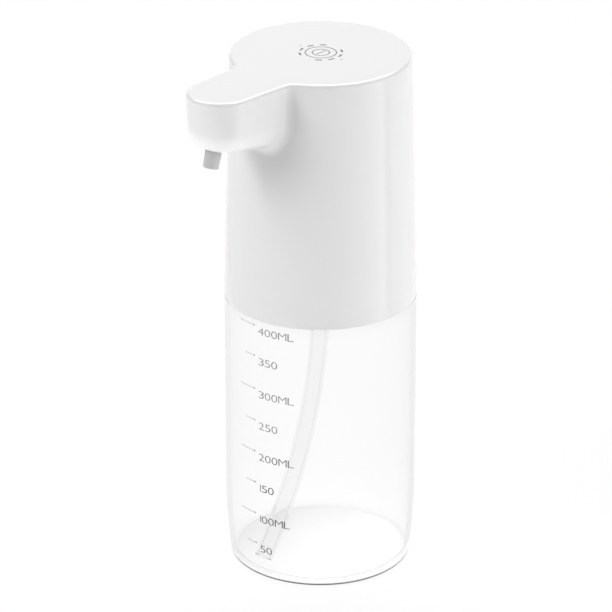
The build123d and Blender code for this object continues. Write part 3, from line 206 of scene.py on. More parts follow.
FINISHES = {
    "shell white": Finish("shell", 0.99, 0.09, 0.13, 700.0, 0.000001, 1.52),
    "flap soft white": Finish("shell", 0.97, 0.45, 0.6, 3500.0, 0.000005, 1.45),
    "silicone cloudy": Finish("silicone", 0.98, 0.3, 0.45, 1500.0, 0.000004, 1.41, 0.55),
    "guide frosted": Finish("guide", 0.98, 0.35, 0.5, 1500.0, 0.000004, 1.49, 0.7),
    "nozzle silicone": Finish("nozzle", 0.93, 0.42, 0.58, 3000.0, 0.000006, 1.41),
    "sensor window": Finish("lens", 0.8, 0.04, 0.1, 2500.0, 0.000001, 1.52),
    "scale ink": Finish("ink", 0.75, 0.45, 0.6, 6000.0, 0.000002),
    "symbol ink": Finish("ink", 0.75, 0.45, 0.6, 6000.0, 0.000002),
    "inner white": Finish("inner", 0.95, 0.4, 0.55, 3800.0, 0.000006),
    "pump grey": Finish("pump", 0.9, 0.38, 0.55, 3200.0, 0.000006),
    "gear cream": Finish("gear", 0.95, 0.35, 0.5, 4200.0, 0.000004),
    "seal rubber": Finish("rubber", 0.8, 0.5, 0.7, 2600.0, 0.000008),
    "magnet ferrite": Finish("magnet", 0.7, 0.5, 0.75, 1800.0, 0.00001),
    "cap black": Finish("black", 0.8, 0.4, 0.6, 3000.0, 0.000006),
    "chip black": Finish("black", 0.75, 0.35, 0.5, 5000.0, 0.000004),
    "cell wrap": Finish("wrap", 0.85, 0.18, 0.32, 900.0, 0.00001),
    "wire red": Finish("red", 0.88, 0.35, 0.5, 3000.0, 0.000005),
    "wire black": Finish("black", 0.85, 0.35, 0.5, 3000.0, 0.000005),
    "steel polished": Finish("bright", 0.92, 0.08, 0.16, 6000.0, 0.000001),
    "pin steel": Finish("bright", 0.9, 0.12, 0.22, 5200.0, 0.000002),
    "can plated steel": Finish("steel", 0.82, 0.25, 0.42, 3600.0, 0.000006),
    "shaft steel": Finish("bright", 0.88, 0.14, 0.26, 5600.0, 0.000002),
    "armature sheets": Finish("steel", 0.7, 0.35, 0.55, 3000.0, 0.000004),
    "socket steel": Finish("bright", 0.9, 0.15, 0.28, 5000.0, 0.000002),
    "screw plated steel": Finish("steel", 0.85, 0.2, 0.36, 4200.0, 0.000004),
}

# What a material gives to a surface group, and what it gets back
SURFACE_INPUTS = (
    ("Color", "NodeSocketColor"),
    ("Shade", "NodeSocketColor"),
    ("Smooth", "NodeSocketFloat"),
    ("Rough", "NodeSocketFloat"),
    ("Grain", "NodeSocketFloat"),
)
SURFACE_OUTPUTS = (
    ("Color", "NodeSocketColor"),
    ("Roughness", "NodeSocketFloat"),
    ("Height", "NodeSocketFloat"),
)


def length(label, text, value):
    """A length that the user can set."""
    return FloatProperty(name=label, description=text, default=value, min=0.0, precision=5, unit="LENGTH")


def colour(label, text, value):
    """A colour that the user can set."""
    return FloatVectorProperty(
        name=label, description=text, default=value, size=4, min=0.0, max=1.0, subtype="COLOR"
    )


def level(label, text, value):
    """A light level that the user can set."""
    return FloatProperty(name=label, description=text, default=value, min=0.0)


def power(label, text, value):
    """A lamp's power that the user can set."""
    return FloatProperty(name=label, description=text, default=value, min=0.0, unit="POWER")


class DispenserSizes(PropertyGroup):
    """Sizes of the printed pieces and the studio"""

    ink_lift: length("Ink lift", "Gap between a printed mark and its surface", 0.00001)
    ink_depth: length("Ink depth", "Thickness of the printed ink", 0.00002)
    letter_height: length("Letter height", "Height of the scale's digits", 0.0030)
    letter_space: length("Letter space", "Gap between two digits", 0.0004)
    letter_drop: length("Letter drop", "Top of the digits below their mark", 0.00038)
    letter_start: length("Letter start", "Digits' distance from the mark's end", 0.0018)
    letter_slice: length("Letter slice", "Width of the strips that bend a digit round the bottle", 0.0005)
    tick_long: length("Long mark", "Length of a mark with its unit", 0.0081)
    tick_short: length("Short mark", "Length of a mark without its unit", 0.0051)
    tick_width: length("Mark width", "Width of a mark", 0.00018)
    tick_end: length("Mark end", "Size of the square end of a mark", 0.0006)
    symbol_outer: length("Outer ring", "Radius of the symbol's outer ring", 0.0058)
    symbol_inner: length("Inner ring", "Radius of the symbol's inner ring", 0.0032)
    symbol_line: length("Symbol line", "Width of the symbol's lines", 0.0004)
    symbol_bar: length("Symbol bar", "Length of the bar in the inner ring", 0.0053)
    dash_ring: length("Dash ring", "Radius of the ring of dashes", 0.0079)
    dash_length: length("Dash length", "Length of a dash", 0.0025)
    dash_width: length("Dash width", "Width of a dash", 0.0008)
    side_mark: length("Side mark", "Length of the faint mark on either side of the symbol", 0.0016)
    side_reach: length("Side reach", "Side marks' distance from the symbol's middle", 0.0104)
    floor_size: length("Floor size", "Half the width of the floor", 4.0)
    floor_gap: length("Floor gap", "Floor below the bottle's base", 0.0003)
    # Painted shadow: height of the dark line painted on the bottle's standing edge, and the radius inside
    # which it stops; that radius also bounds the floor's painted shadow
    shadow_line_height: length("Foot height", "Height of the worn standing edge", 0.0014)
    shade_radius: length("Foot inside", "Radius inside which the base isn't worn", 0.0330)
    pad_pinch: length("Pad pinch", "How far the foam pad's flat faces draw in", 0.0006)
    ring_steps: IntProperty(name="Ring steps", description="Segments in a printed ring", default=72, min=12)


class DispenserStudio(PropertyGroup):
    """Light of the studio"""

    surround: level("Surround", "Light from all round", 0.27)
    top: power("Top softbox", "Power of the softbox overhead", 13.8)
    front: power("Front softbox", "Power of the softbox before the spout", 13.2)
    right: power("Right softbox", "Power of the softbox at the right", 10.5)
    low: power("Low softbox", "Power of the low softbox at the right", 2.7)
    kick: power("Spout light", "Power of the small lamp below the spout", 0.4)
    rim_glow: level("Rim glow", "Glow of the arch that the top edges mirror", 4.0)
    below: level("Floor light", "Light that the floor gives", 0.157)
    floor_glow: level("Floor glow", "Glow that makes the seen floor white", 0.885)
    floor_shade: level("Floor shade", "Glow that the floor loses at the bottle's darker side", 0.22)
    band_dim: level("Band start", "Glow of the mirrored card at its faint side", 1.0)
    band_bright: level("Band end", "Glow of the mirrored card at its bright side", 2.3)


class DispenserColours(PropertyGroup):
    """Colours of the pieces"""

    shell: colour("Shell", "White of the head", (0.85, 0.85, 0.852, 1.0))
    shell_bounce: colour("Shell bounce", "Light that the head throws on its hollows", (0.12, 0.12, 0.12, 1.0))
    bottle: colour("Bottle", "Clear plastic of the bottle", (1.0, 1.0, 1.0, 1.0))
    # Near-black colour of the painted shadow line at the bottle's standing edge
    foot: colour("Foot", "Painted shadow line at the bottle's standing edge", (0.02, 0.02, 0.02, 1.0))
    tube: colour("Tube", "Milky plastic of the dip tube", (0.99, 0.99, 0.99, 1.0))
    nozzle: colour("Nozzle", "Grey silicone of the nozzle", (0.62, 0.62, 0.625, 1.0))
    ink: colour("Ink", "Grey ink of the scale and the symbol", (0.13, 0.13, 0.135, 1.0))
    faded_ink: colour("Faded ink", "Worn ink at the top of the scale", (0.34, 0.34, 0.345, 1.0))
    silicone: colour("Silicone", "Cloudy silicone of the seals and the hose", (0.86, 0.87, 0.87, 1.0))
    inner: colour("Inner white", "White of the parts inside the head", (0.76, 0.76, 0.75, 1.0))
    pump: colour("Pump", "Grey of the pump's casing", (0.30, 0.31, 0.32, 1.0))
    gear: colour("Gear", "Cream of the pump's gears", (0.74, 0.68, 0.55, 1.0))
    rubber: colour("Rubber", "Black of the shaft seal", (0.018, 0.018, 0.018, 1.0))
    black: colour("Black plastic", "Black of the chips and the motor's cap", (0.022, 0.022, 0.024, 1.0))
    steel: colour("Steel", "Plated steel", (0.56, 0.56, 0.57, 1.0))
    bright: colour("Bright steel", "Polished steel", (0.68, 0.68, 0.69, 1.0))
    magnet: colour("Magnet", "Dark ferrite", (0.045, 0.045, 0.05, 1.0))
    lens: colour("Lens", "Dark window of the hand sensor", (0.02, 0.012, 0.016, 1.0))
    board: colour("Board", "Green of the circuit boards", (0.012, 0.11, 0.04, 1.0))
    copper: colour("Copper", "Tracks under the boards' green", (0.05, 0.22, 0.07, 1.0))
    foam: colour("Foam", "Grey of the foam pad", (0.20, 0.20, 0.21, 1.0))
    guide: colour("Light guide", "Frosted ring round the touch key", (0.88, 0.88, 0.88, 1.0))
    wrap: colour("Cell wrap", "Sleeve of the battery cell", (0.03, 0.16, 0.30, 1.0))
    red: colour("Red wire", "Insulation of the motor's wires", (0.42, 0.02, 0.02, 1.0))
    floor: colour("Floor", "Floor of the studio, as it lights the dispenser", (0.90, 0.90, 0.90, 1.0))
    floor_seen: colour("Seen floor", "Floor of the studio, as the camera sees it", (0.12, 0.12, 0.12, 1.0))


def feed(tree, node, inputs):
    """Links a node's inputs to sockets, or sets them to values."""
    for key, source in inputs.items():
        if isinstance(source, NodeSocket):
            tree.links.new(source, node.inputs[key])
        else:
            node.inputs[key].default_value = source


def add_node(tree, kind, inputs=None, **options):
    """Shader node with its options set and its inputs fed."""
    node = tree.nodes.new("ShaderNode" + kind)
    for option, value in options.items():
        setattr(node, option, value)
    feed(tree, node, inputs or {})
    return node


def object_place(tree):
    """Object coordinates of a material or group."""
    return add_node(tree, "TexCoord").outputs["Object"]


def stretched(tree, vector, scale):
    """A vector scaled along each axis."""
    return add_node(tree, "Mapping", {"Vector": vector, "Scale": scale}).outputs["Vector"]


def along(tree, vector, axis):
    """A vector's reach along one axis."""
    return add_node(tree, "SeparateXYZ", {"Vector": vector}).outputs[axis]


def reach(tree, vector):
    """A vector's length."""
    return add_node(tree, "VectorMath", {0: vector}, operation="LENGTH").outputs["Value"]


def calculated(tree, operation, first, second, **options):
    """A value worked out from two others."""
    return add_node(tree, "Math", {0: first, 1: second}, operation=operation, **options).outputs["Value"]


def ranged(tree, value, source, target, **options):
    """A value carried over from one range to another."""
    inputs = {
        "Value": value,
        "From Min": source[0],
        "From Max": source[1],
        "To Min": target[0],
        "To Max": target[1],
    }
    return add_node(tree, "MapRange", inputs, **options).outputs["Result"]


def noise(tree, scale, detail, vector):
    """Noise on a vector."""
    return add_node(tree, "TexNoise", {"Vector": vector, "Scale": scale, "Detail": detail}).outputs["Fac"]


def mixed(tree, factor, first, second):
    """A colour between two others."""
    inputs = {"Factor": factor, "A": first, "B": second}
    return add_node(tree, "Mix", inputs, data_type="RGBA").outputs["Result"]


def add_bump(tree, shader, height, depth, strength=1.0):
    """Raises a shader's surface by a pattern."""
    bump = add_node(tree, "Bump", {"Height": height, "Distance": depth, "Strength": strength})
    tree.links.new(bump.outputs["Normal"], shader.inputs["Normal"])


def pick_shader(tree, factor, first, second, output):
    """Sends one of two shaders to an output, as a factor says."""
    pick = add_node(tree, "MixShader", {"Fac": factor, 1: first, 2: second})
    tree.links.new(pick.outputs["Shader"], output.inputs["Surface"])


def new_surface_group(name):
    """Empty group for a surface, and its first and last node."""
    group = bpy.data.node_groups.new(name, "ShaderNodeTree")
    for label, kind in SURFACE_INPUTS:
        group.interface.new_socket(label, in_out="INPUT", socket_type=kind)
    for label, kind in SURFACE_OUTPUTS:
        group.interface.new_socket(label, in_out="OUTPUT", socket_type=kind)
    return group, group.nodes.new("NodeGroupInput"), group.nodes.new("NodeGroupOutput")


def finish_surface_group(group, entry, leave, tone, wear, height):
    """Colour shaded by one pattern, roughness spread by another, and a height."""
    given = entry.outputs
    colour_out = mixed(group, tone, given["Color"], given["Shade"])
    roughness = ranged(group, wear, MARKS_RANGE, (given["Smooth"], given["Rough"]))
    feed(group, leave, {"Color": colour_out, "Roughness": roughness, "Height": height})
    return group


def moulded_surface():
    """Moulded plastic: slow mottle, handling marks and the mould's fine grain."""
    found = bpy.data.node_groups.get("moulded_surface")
    if found:
        return found
    group, entry, leave = new_surface_group("moulded_surface")
    place = object_place(group)
    mottle = noise(group, *MOTTLE, place)
    marks = noise(group, *MARKS, place)
    grain = noise(group, entry.outputs["Grain"], GRAIN_DETAIL, place)
    return finish_surface_group(group, entry, leave, mottle, marks, grain)


def metal_surface():
    """Worked metal: fine drawn lines along Z, dull patches and a light grain."""
    found = bpy.data.node_groups.get("metal_surface")
    if found:
        return found
    group, entry, leave = new_surface_group("metal_surface")
    place = object_place(group)
    lines = noise(group, entry.outputs["Grain"], GRAIN_DETAIL, stretched(group, place, DRAWN_STRETCH))
    dull = noise(group, *DULL_PATCHES, place)
    return finish_surface_group(group, entry, leave, dull, dull, lines)


def new_material(name):
    """Node material with its tree and shader."""
    material = bpy.data.materials.new(name)
    material.use_nodes = True
    return material, material.node_tree, material.node_tree.nodes["Principled BSDF"]


def bare_material(name):
    """Node material without a shader, and its tree."""
    material, tree, shader = new_material(name)
    tree.nodes.remove(shader)
    return material, tree


def shaded(tint, share):
    """A colour brought down to a share of its brightness."""
    return (tint[0] * share, tint[1] * share, tint[2] * share, 1.0)


def tint_over(material, factor, tint):
    """Lays a colour over a material's own."""
    tree = material.node_tree
    base = tree.nodes["Principled BSDF"].inputs["Base Color"]
    own = base.links[0].from_socket if base.is_linked else base.default_value
    tree.links.new(mixed(tree, factor, own, tint), base)


def add_surface(tree, shader, group, tint, finish):
    """Puts a surface group in front of a shader, with its bump."""
    inputs = {
        "Color": tint,
        "Shade": shaded(tint, finish.tone),
        "Smooth": finish.smooth,
        "Rough": finish.rough,
        "Grain": finish.grain,
    }
    surface = add_node(tree, "Group", inputs, node_tree=group).outputs
    feed(tree, shader, {"Base Color": surface["Color"], "Roughness": surface["Roughness"]})
    add_bump(tree, shader, surface["Height"], finish.depth, GRAIN_BUMP)


def plastic(name, colours):
    """Moulded plastic, rubber or ink with one of the finishes."""
    finish = FINISHES[name]
    material, tree, shader = new_material(name)
    add_surface(tree, shader, moulded_surface(), getattr(colours, finish.tint), finish)
    feed(tree, shader, {"IOR": finish.ior, "Transmission Weight": finish.clear})
    return material


def metal(name, colours):
    """Worked metal with one of the finishes."""
    finish = FINISHES[name]
    material, tree, shader = new_material(name)
    add_surface(tree, shader, metal_surface(), getattr(colours, finish.tint), finish)
    feed(tree, shader, {"Metallic": 1.0})
    return material


def stacked_steel(name, colours):
    """Stacked sheets of the motor's armature."""
    material = metal(name, colours)
    tree = material.node_tree
    inputs = {"Vector": object_place(tree), "Scale": SHEET_SCALE}
    sheets = add_node(tree, "TexWave", inputs, bands_direction="Z").outputs["Fac"]
    tint_over(material, sheets, shaded(getattr(colours, FINISHES[name].tint), SHEET_TONE))
    return material


def dim_bounces(material, tint):
    """Dims the light that a surface throws onto its own hollows."""
    tree = material.node_tree
    own = tree.nodes["Principled BSDF"].outputs["BSDF"]
    dim = add_node(tree, "BsdfDiffuse", {"Color": tint}).outputs["BSDF"]
    bounce = add_node(tree, "LightPath").outputs["Is Diffuse Ray"]
    pick_shader(tree, bounce, own, dim, tree.nodes["Material Output"])


def clear_plastic(name, tint, density, ior):
    """Clear plastic: slight flow waves, fine wear, and walls that grey along their length.

    Shadow rays and rays that it has mirrored once pass straight through.
    """
    material, tree, shader = new_material(name)
    place = object_place(tree)
    wear = ranged(tree, noise(tree, *FINE_WEAR, place), UNIT, CLEAR_ROUGHNESS)
    feed(tree, shader, {"Base Color": tint, "Transmission Weight": 1.0, "IOR": ior, "Roughness": wear})
    flow = noise(tree, *FLOW, stretched(tree, place, FLOW_STRETCH))
    add_bump(tree, shader, flow, FLOW_DEPTH, FLOW_BUMP)
    output = tree.nodes["Material Output"]
    wall = add_node(tree, "VolumeAbsorption", {"Color": WALL_GREY, "Density": density})
    tree.links.new(wall.outputs["Volume"], output.inputs["Volume"])
    through = add_node(tree, "BsdfTransparent", {"Color": THROUGH_TINT}).outputs["BSDF"]
    path = add_node(tree, "LightPath").outputs
    caught = calculated(tree, "GREATER_THAN", path["Glossy Depth"], MIRRORED_ONCE)
    straight = calculated(tree, "MAXIMUM", path["Is Shadow Ray"], caught)
    pick_shader(tree, straight, shader.outputs["BSDF"], through, output)
    return material


def paint_foot_shadow(material, shadowed, height, inner):
    """Greys the standing edge of clear plastic, where it is seen from outside, as a painted shadow line."""
    tree = material.node_tree
    place = object_place(tree)
    rise = along(tree, place, "Z")
    low = ranged(tree, rise, (height / 2, height), (1.0, 0.0), interpolation_type="SMOOTHSTEP")
    outer = calculated(tree, "GREATER_THAN", reach(tree, stretched(tree, place, FLATTENED)), inner)
    edge = calculated(tree, "MULTIPLY", low, outer)
    inside = add_node(tree, "NewGeometry").outputs["Backfacing"]
    tint_over(material, calculated(tree, "SUBTRACT", edge, inside, use_clamp=True), shadowed)


def circuit_board(name, mask, track):
    """Circuit board: green lacquer over raised tracks."""
    material, tree, shader = new_material(name)
    place = object_place(tree)
    inputs = {"Vector": place, "Scale": TRACK_SCALE}
    cells = add_node(tree, "TexVoronoi", inputs, distance="MANHATTAN", feature="DISTANCE_TO_EDGE")
    edge = calculated(tree, "LESS_THAN", cells.outputs["Distance"], TRACK_WIDTH)
    lacquer = ranged(tree, noise(tree, *LACQUER, place), UNIT, LACQUER_ROUGHNESS)
    feed(tree, shader, {"Base Color": mixed(tree, edge, mask, track), "Roughness": lacquer})
    add_bump(tree, shader, edge, TRACK_DEPTH, TRACK_BUMP)
    return material


def open_foam(name, tint):
    """Foam with open cells."""
    material, tree, shader = new_material(name)
    inputs = {"Vector": object_place(tree), "Scale": CELL_SCALE}
    cells = add_node(tree, "TexVoronoi", inputs).outputs["Distance"]
    tone = mixed(tree, cells, shaded(tint, CELL_TONE), tint)
    feed(tree, shader, {"Base Color": tone, "Roughness": FOAM_ROUGHNESS})
    add_bump(tree, shader, cells, CELL_DEPTH)
    return material


def fade_upwards(material, faded, low, high):
    """Pales a print from one height to another, in patches, as hands wear it."""
    tree = material.node_tree
    place = object_place(tree)
    rise = ranged(tree, along(tree, place, "Z"), (low, high), UNIT)
    patches = ranged(tree, noise(tree, *WORN_INK, place), WORN_RANGE, WORN_COVER)
    tint_over(material, calculated(tree, "MULTIPLY", rise, patches), faded)


def dress(material, *names):
    """Gives CAD nodes their finish."""
    for name in names:
        for slot in NODES[name].material_slots:
            slot.material = material


def new_object(name, bm, material):
    """Object from a bmesh, at the origin of the scene."""
    mesh = bpy.data.meshes.new(name)
    bm.to_mesh(mesh)
    bm.free()
    mesh.materials.append(material)
    item = bpy.data.objects.new(name, mesh)
    bpy.context.scene.collection.objects.link(item)
    return item


def make_piece(name, bm, material, body):
    """Object from a bmesh, at the origin, riding on a body."""
    piece = new_object(name, bm, material)
    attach(piece, body)
    return piece


def side_radius(height):
    """Outside radius of the bottle at a height."""
    if height >= BASE_CURVE_HEIGHT:
        return SIDE_RADIUS
    curve = (BASE_CURVE_HEIGHT**2 + BASE_DRAW_IN**2) / (2 * BASE_DRAW_IN)
    return SIDE_RADIUS - curve + math.sqrt(curve**2 - (BASE_CURVE_HEIGHT - height) ** 2)


def add_mesh(bm, mesh):
    """Moves a mesh into a bmesh."""
    bm.from_mesh(mesh)
    bpy.data.meshes.remove(mesh)


def join(bm, part):
    """Moves one bmesh into another."""
    mesh = bpy.data.meshes.new("part")
    part.to_mesh(mesh)
    part.free()
    add_mesh(bm, mesh)


def add_box(bm, left, right, low, high, depth):
    """Flat box in a bmesh: width along X, height along Y, depth along Z."""
    size = Matrix.Diagonal((right - left, high - low, depth, 1.0))
    middle = Matrix.Translation(((left + right) / 2, (low + high) / 2, depth / 2))
    bmesh.ops.create_cube(bm, size=1.0, matrix=middle @ size)


def add_glyph(bm, glyph, left, low, width, height, depth):
    """One letter or digit of a stated size in a bmesh; a 1 keeps its own slim shape."""
    curve = bpy.data.curves.new("glyph", "FONT")
    curve.body = glyph
    curve.extrude = GLYPH_HALF
    curve.offset = INK_THINNING
    holder = bpy.data.objects.new("glyph", curve)
    mesh = bpy.data.meshes.new_from_object(holder)
    bpy.data.objects.remove(holder)
    bpy.data.curves.remove(curve)
    xs = [vertex.co.x for vertex in mesh.vertices]
    ys = [vertex.co.y for vertex in mesh.vertices]
    tall = height / (max(ys) - min(ys))
    wide = tall if glyph == "1" else width / (max(xs) - min(xs))
    mesh.transform(Matrix.Translation((-max(xs), -min(ys), GLYPH_HALF)))
    mesh.transform(Matrix.Diagonal((wide, tall, depth, 1.0)))
    mesh.transform(Matrix.Translation((left + width, low, 0.0)))
    add_mesh(bm, mesh)


def cut_in_strips(bm, left, right, step):
    """Cuts flat pieces in upright strips, so that they can bend round the bottle."""
    for index in range(1, math.ceil((right - left) / step)):
        bmesh.ops.bisect_plane(
            bm,
            geom=bm.verts[:] + bm.edges[:] + bm.faces[:],
            plane_co=(left + index * step, 0.0, 0.0),
            plane_no=(1.0, 0.0, 0.0),
        )


def wrap_on_bottle(bm, lift):
    """Bends flat pieces round the bottle's front: X along its girth, Y up, Z outwards."""
    for vertex in bm.verts:
        around, height, out = vertex.co
        turn = around / SIDE_RADIUS
        radius = side_radius(height) + lift + out
        vertex.co = (radius * math.sin(turn), -radius * math.cos(turn), height)


def spin_closed(bm, corners, edges, steps, gap):
    """Turns an outline all round Z and joins what meets within a gap."""
    bmesh.ops.spin(
        bm,
        geom=corners + edges,
        cent=(0, 0, 0),
        axis=(0, 0, 1),
        angle=2 * math.pi,
        steps=steps,
        use_merge=True,
    )
    bmesh.ops.remove_doubles(bm, verts=bm.verts, dist=gap)
    bmesh.ops.recalc_face_normals(bm, faces=bm.faces)


def add_ring(bm, radius, line, depth, steps):
    """Flat ring about Z in a bmesh."""
    ring = bmesh.new()
    inner = radius - line / 2
    outer = radius + line / 2
    places = ((inner, 0, 0), (outer, 0, 0), (outer, 0, depth), (inner, 0, depth))
    corners = [ring.verts.new(place) for place in places]
    edges = [ring.edges.new((corners[i - 1], corners[i])) for i in range(len(corners))]
    spin_closed(ring, corners, edges, steps, depth / 4)
    join(bm, ring)


class DISPENSER_OT_bottle(Operator):
    """Clear plastic of the bottle and the cloudy silicone of its gasket"""

    bl_idname = "dispenser.bottle"
    bl_label = "Bottle"

    def execute(self, context):
        sizes = context.scene.dispenser_sizes
        colours = context.scene.dispenser_colours
        clear = clear_plastic("bottle clear", colours.bottle, BOTTLE_DENSITY, BOTTLE_IOR)
        # Painted shadow: a near-black line on the bottle's standing edge
        paint_foot_shadow(clear, colours.foot, sizes.shadow_line_height, sizes.shade_radius)
        dress(clear, "bottle")
        silicone = plastic("silicone cloudy", colours)
        dress(silicone, "bottle_gasket", "base_seal", "vent_valve", "outlet_hose")
        return {"FINISHED"}


class DISPENSER_OT_volume_scale(Operator):
    """Printed volume scale on the bottle's front"""

    bl_idname = "dispenser.volume_scale"
    bl_label = "Volume scale"

    def execute(self, context):
        sizes = context.scene.dispenser_sizes
        colours = context.scene.dispenser_colours
        bm = bmesh.new()
        half = sizes.tick_width / 2
        end = sizes.tick_end / 2
        right = 0.0
        for text, mark in SCALE_MARKS:
            left = -sizes.tick_long if text.endswith("ML") else -sizes.tick_short
            add_box(bm, left, -sizes.tick_end, mark - half, mark + half, sizes.ink_depth)
            add_box(bm, -sizes.tick_end, 0.0, mark - end, mark + end, sizes.ink_depth)
            low = mark - sizes.letter_drop - sizes.letter_height
            left = sizes.letter_start
            for glyph in text:
                width = GLYPH_WIDTHS.get(glyph, DIGIT_WIDTH)
                add_glyph(bm, glyph, left, low, width, sizes.letter_height, sizes.ink_depth)
                left += width + sizes.letter_space
            right = max(right, left)
        cut_in_strips(bm, -sizes.tick_long, right, sizes.letter_slice)
        wrap_on_bottle(bm, sizes.ink_lift)
        ink = plastic("scale ink", colours)
        fade_upwards(ink, colours.faded_ink, PALE_START, PALE_END)
        make_piece("volume_scale", bm, ink, "bottle")
        return {"FINISHED"}


class DISPENSER_OT_head(Operator):
    """White shell of the head and the soft flap at its back"""

    bl_idname = "dispenser.head"
    bl_label = "Head"

    def execute(self, context):
        colours = context.scene.dispenser_colours
        shell = plastic("shell white", colours)
        dim_bounces(shell, colours.shell_bounce)
        dress(shell, "head_shell")
        dress(plastic("flap soft white", colours), "port_cover")
        return {"FINISHED"}


class DISPENSER_OT_touch_symbol(Operator):
    """Printed touch symbol on the top of the head"""

    bl_idname = "dispenser.touch_symbol"
    bl_label = "Touch symbol"

    def execute(self, context):
        sizes = context.scene.dispenser_sizes
        bm = bmesh.new()
        depth = sizes.ink_depth
        half = sizes.symbol_line / 2
        add_ring(bm, sizes.symbol_outer, sizes.symbol_line, depth, sizes.ring_steps)
        add_ring(bm, sizes.symbol_inner, sizes.symbol_line, depth, sizes.ring_steps)
        add_box(bm, -half, half, -sizes.symbol_bar / 2, sizes.symbol_bar / 2, depth)
        low = sizes.dash_ring - sizes.dash_width / 2
        for turn in DASH_TURNS:
            dash = bmesh.new()
            add_box(dash, -sizes.dash_length / 2, sizes.dash_length / 2, low, low + sizes.dash_width, depth)
            turned = Matrix.Rotation(math.radians(turn), 3, "Z")
            bmesh.ops.rotate(dash, verts=dash.verts, cent=(0, 0, 0), matrix=turned)
            join(bm, dash)
        thin = half / 2
        for x in (-sizes.side_reach, sizes.side_reach):
            add_box(bm, x - thin, x + thin, -sizes.side_mark / 2, sizes.side_mark / 2, depth)
        bmesh.ops.translate(bm, verts=bm.verts, vec=(0, 0, HEAD_BOX[1].z + sizes.ink_lift))
        make_piece("touch_symbol", bm, plastic("symbol ink", context.scene.dispenser_colours), "head")
        return {"FINISHED"}


class DISPENSER_OT_inlet(Operator):
    """Dip tube, floor of the head, check ball and battery cradle"""

    bl_idname = "dispenser.inlet"
    bl_label = "Inlet and floor"

    def execute(self, context):
        colours = context.scene.dispenser_colours
        dress(clear_plastic("tube clear", colours.tube, TUBE_DENSITY, TUBE_IOR), "dip_tube")
        dress(plastic("inner white", colours), "base_plate", "battery_cradle", "nozzle_elbow")
        dress(metal("steel polished", colours), "check_ball")
        return {"FINISHED"}


class DISPENSER_OT_outlet(Operator):
    """Nozzle and hand sensor under the spout"""

    bl_idname = "dispenser.outlet"
    bl_label = "Nozzle and sensor"

    def execute(self, context):
        colours = context.scene.dispenser_colours
        dress(plastic("nozzle silicone", colours), "nozzle")
        dress(plastic("sensor window", colours), "sensor_lens")
        return {"FINISHED"}


class DISPENSER_OT_pump(Operator):
    """Gear pump: casing, gears, pin and shaft seal"""

    bl_idname = "dispenser.pump"
    bl_label = "Pump"

    def execute(self, context):
        colours = context.scene.dispenser_colours
        dress(plastic("pump grey", colours), "pump_body", "pump_cover")
        dress(plastic("gear cream", colours), "drive_gear", "idler_gear")
        dress(metal("pin steel", colours), "idler_pin")
        dress(plastic("seal rubber", colours), "shaft_seal")
        return {"FINISHED"}


class DISPENSER_OT_motor(Operator):
    """Motor: can, end cap, magnets, armature and shaft"""

    bl_idname = "dispenser.motor"
    bl_label = "Motor"

    def execute(self, context):
        colours = context.scene.dispenser_colours
        dress(metal("can plated steel", colours), "motor_can")
        dress(metal("shaft steel", colours), "motor_shaft")
        dress(stacked_steel("armature sheets", colours), "motor_rotor")
        dress(plastic("magnet ferrite", colours), "motor_magnets")
        dress(plastic("cap black", colours), "motor_end_cap")
        return {"FINISHED"}


class DISPENSER_OT_electronics(Operator):
    """Boards, chips, touch key, battery, charging socket and wires"""

    bl_idname = "dispenser.electronics"
    bl_label = "Electronics"

    def execute(self, context):
        colours = context.scene.dispenser_colours
        board = circuit_board("board lacquer", colours.board, colours.copper)
        dress(board, "control_board", "touch_board", "sensor_board", "charge_board")
        dress(plastic("chip black", colours), "control_chips")
        foam = open_foam("pad foam", colours.foam)
        dress(foam, "touch_pad")
        self.make_foam_pad(foam, context.scene.dispenser_sizes)
        dress(plastic("guide frosted", colours), "light_ring")
        dress(plastic("cell wrap", colours), "battery_cell")
        dress(metal("socket steel", colours), "charge_port")
        dress(plastic("wire red", colours), "motor_leads")
        dress(plastic("wire black", colours), "battery_leads")
        return {"FINISHED"}

    def make_foam_pad(self, foam, sizes):
        """Soft pad with bulging sides in place of the plain disc."""
        low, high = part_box("touch_pad")
        rise = high.z - low.z
        flat = high.x - sizes.pad_pinch
        bm = bmesh.new()
        outline = [bm.verts.new((0, 0, low.z))]
        for step in range(PAD_STEPS + 1):
            share = step / PAD_STEPS
            out = flat + sizes.pad_pinch * math.sin(math.pi * share)
            outline.append(bm.verts.new((out, 0, low.z + rise * share)))
        outline.append(bm.verts.new((0, 0, high.z)))
        edges = [bm.edges.new(pair) for pair in zip(outline, outline[1:])]
        spin_closed(bm, outline, edges, sizes.ring_steps, sizes.ink_depth)
        pad = make_piece("foam_pad", bm, foam, "head")
        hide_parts("touch_pad")


class DISPENSER_OT_screws(Operator):
    """Plated screws throughout"""

    bl_idname = "dispenser.screws"
    bl_label = "Screws"

    def execute(self, context):
        plated = metal("screw plated steel", context.scene.dispenser_colours)
        dress(plated, "base_screws", "pump_screws", "motor_screws", "touch_screws", "cradle_screws")
        return {"FINISHED"}


def seen_ray(tree):
    """Factor that is 1 for what the camera sees, straight or through gloss and glass."""
    path = add_node(tree, "LightPath").outputs
    seen = path["Is Camera Ray"]
    for label in ("Is Glossy Ray", "Is Transmission Ray"):
        seen = calculated(tree, "MAXIMUM", seen, path[label])
    return seen


def shaded_glow(tree, glow, shade, radius):
    """Glow of the floor, dimmed under the bottle towards its darker side: a painted shadow."""
    place = object_place(tree)
    ends = (radius * SHADE_START, -radius)
    dim = ranged(tree, along(tree, place, "X"), ends, (glow, glow - shade))
    under = calculated(tree, "LESS_THAN", reach(tree, place), radius)
    return add_node(tree, "Mix", {"Factor": under, "A": glow, "B": dim}).outputs["Result"]


def lit_surface(tree, tint, glow):
    """Matt surface that also glows."""
    matt = add_node(tree, "BsdfDiffuse", {"Color": tint}).outputs["BSDF"]
    light = add_node(tree, "Emission", {"Strength": glow}).outputs["Emission"]
    return add_node(tree, "AddShader", {0: matt, 1: light}).outputs["Shader"]


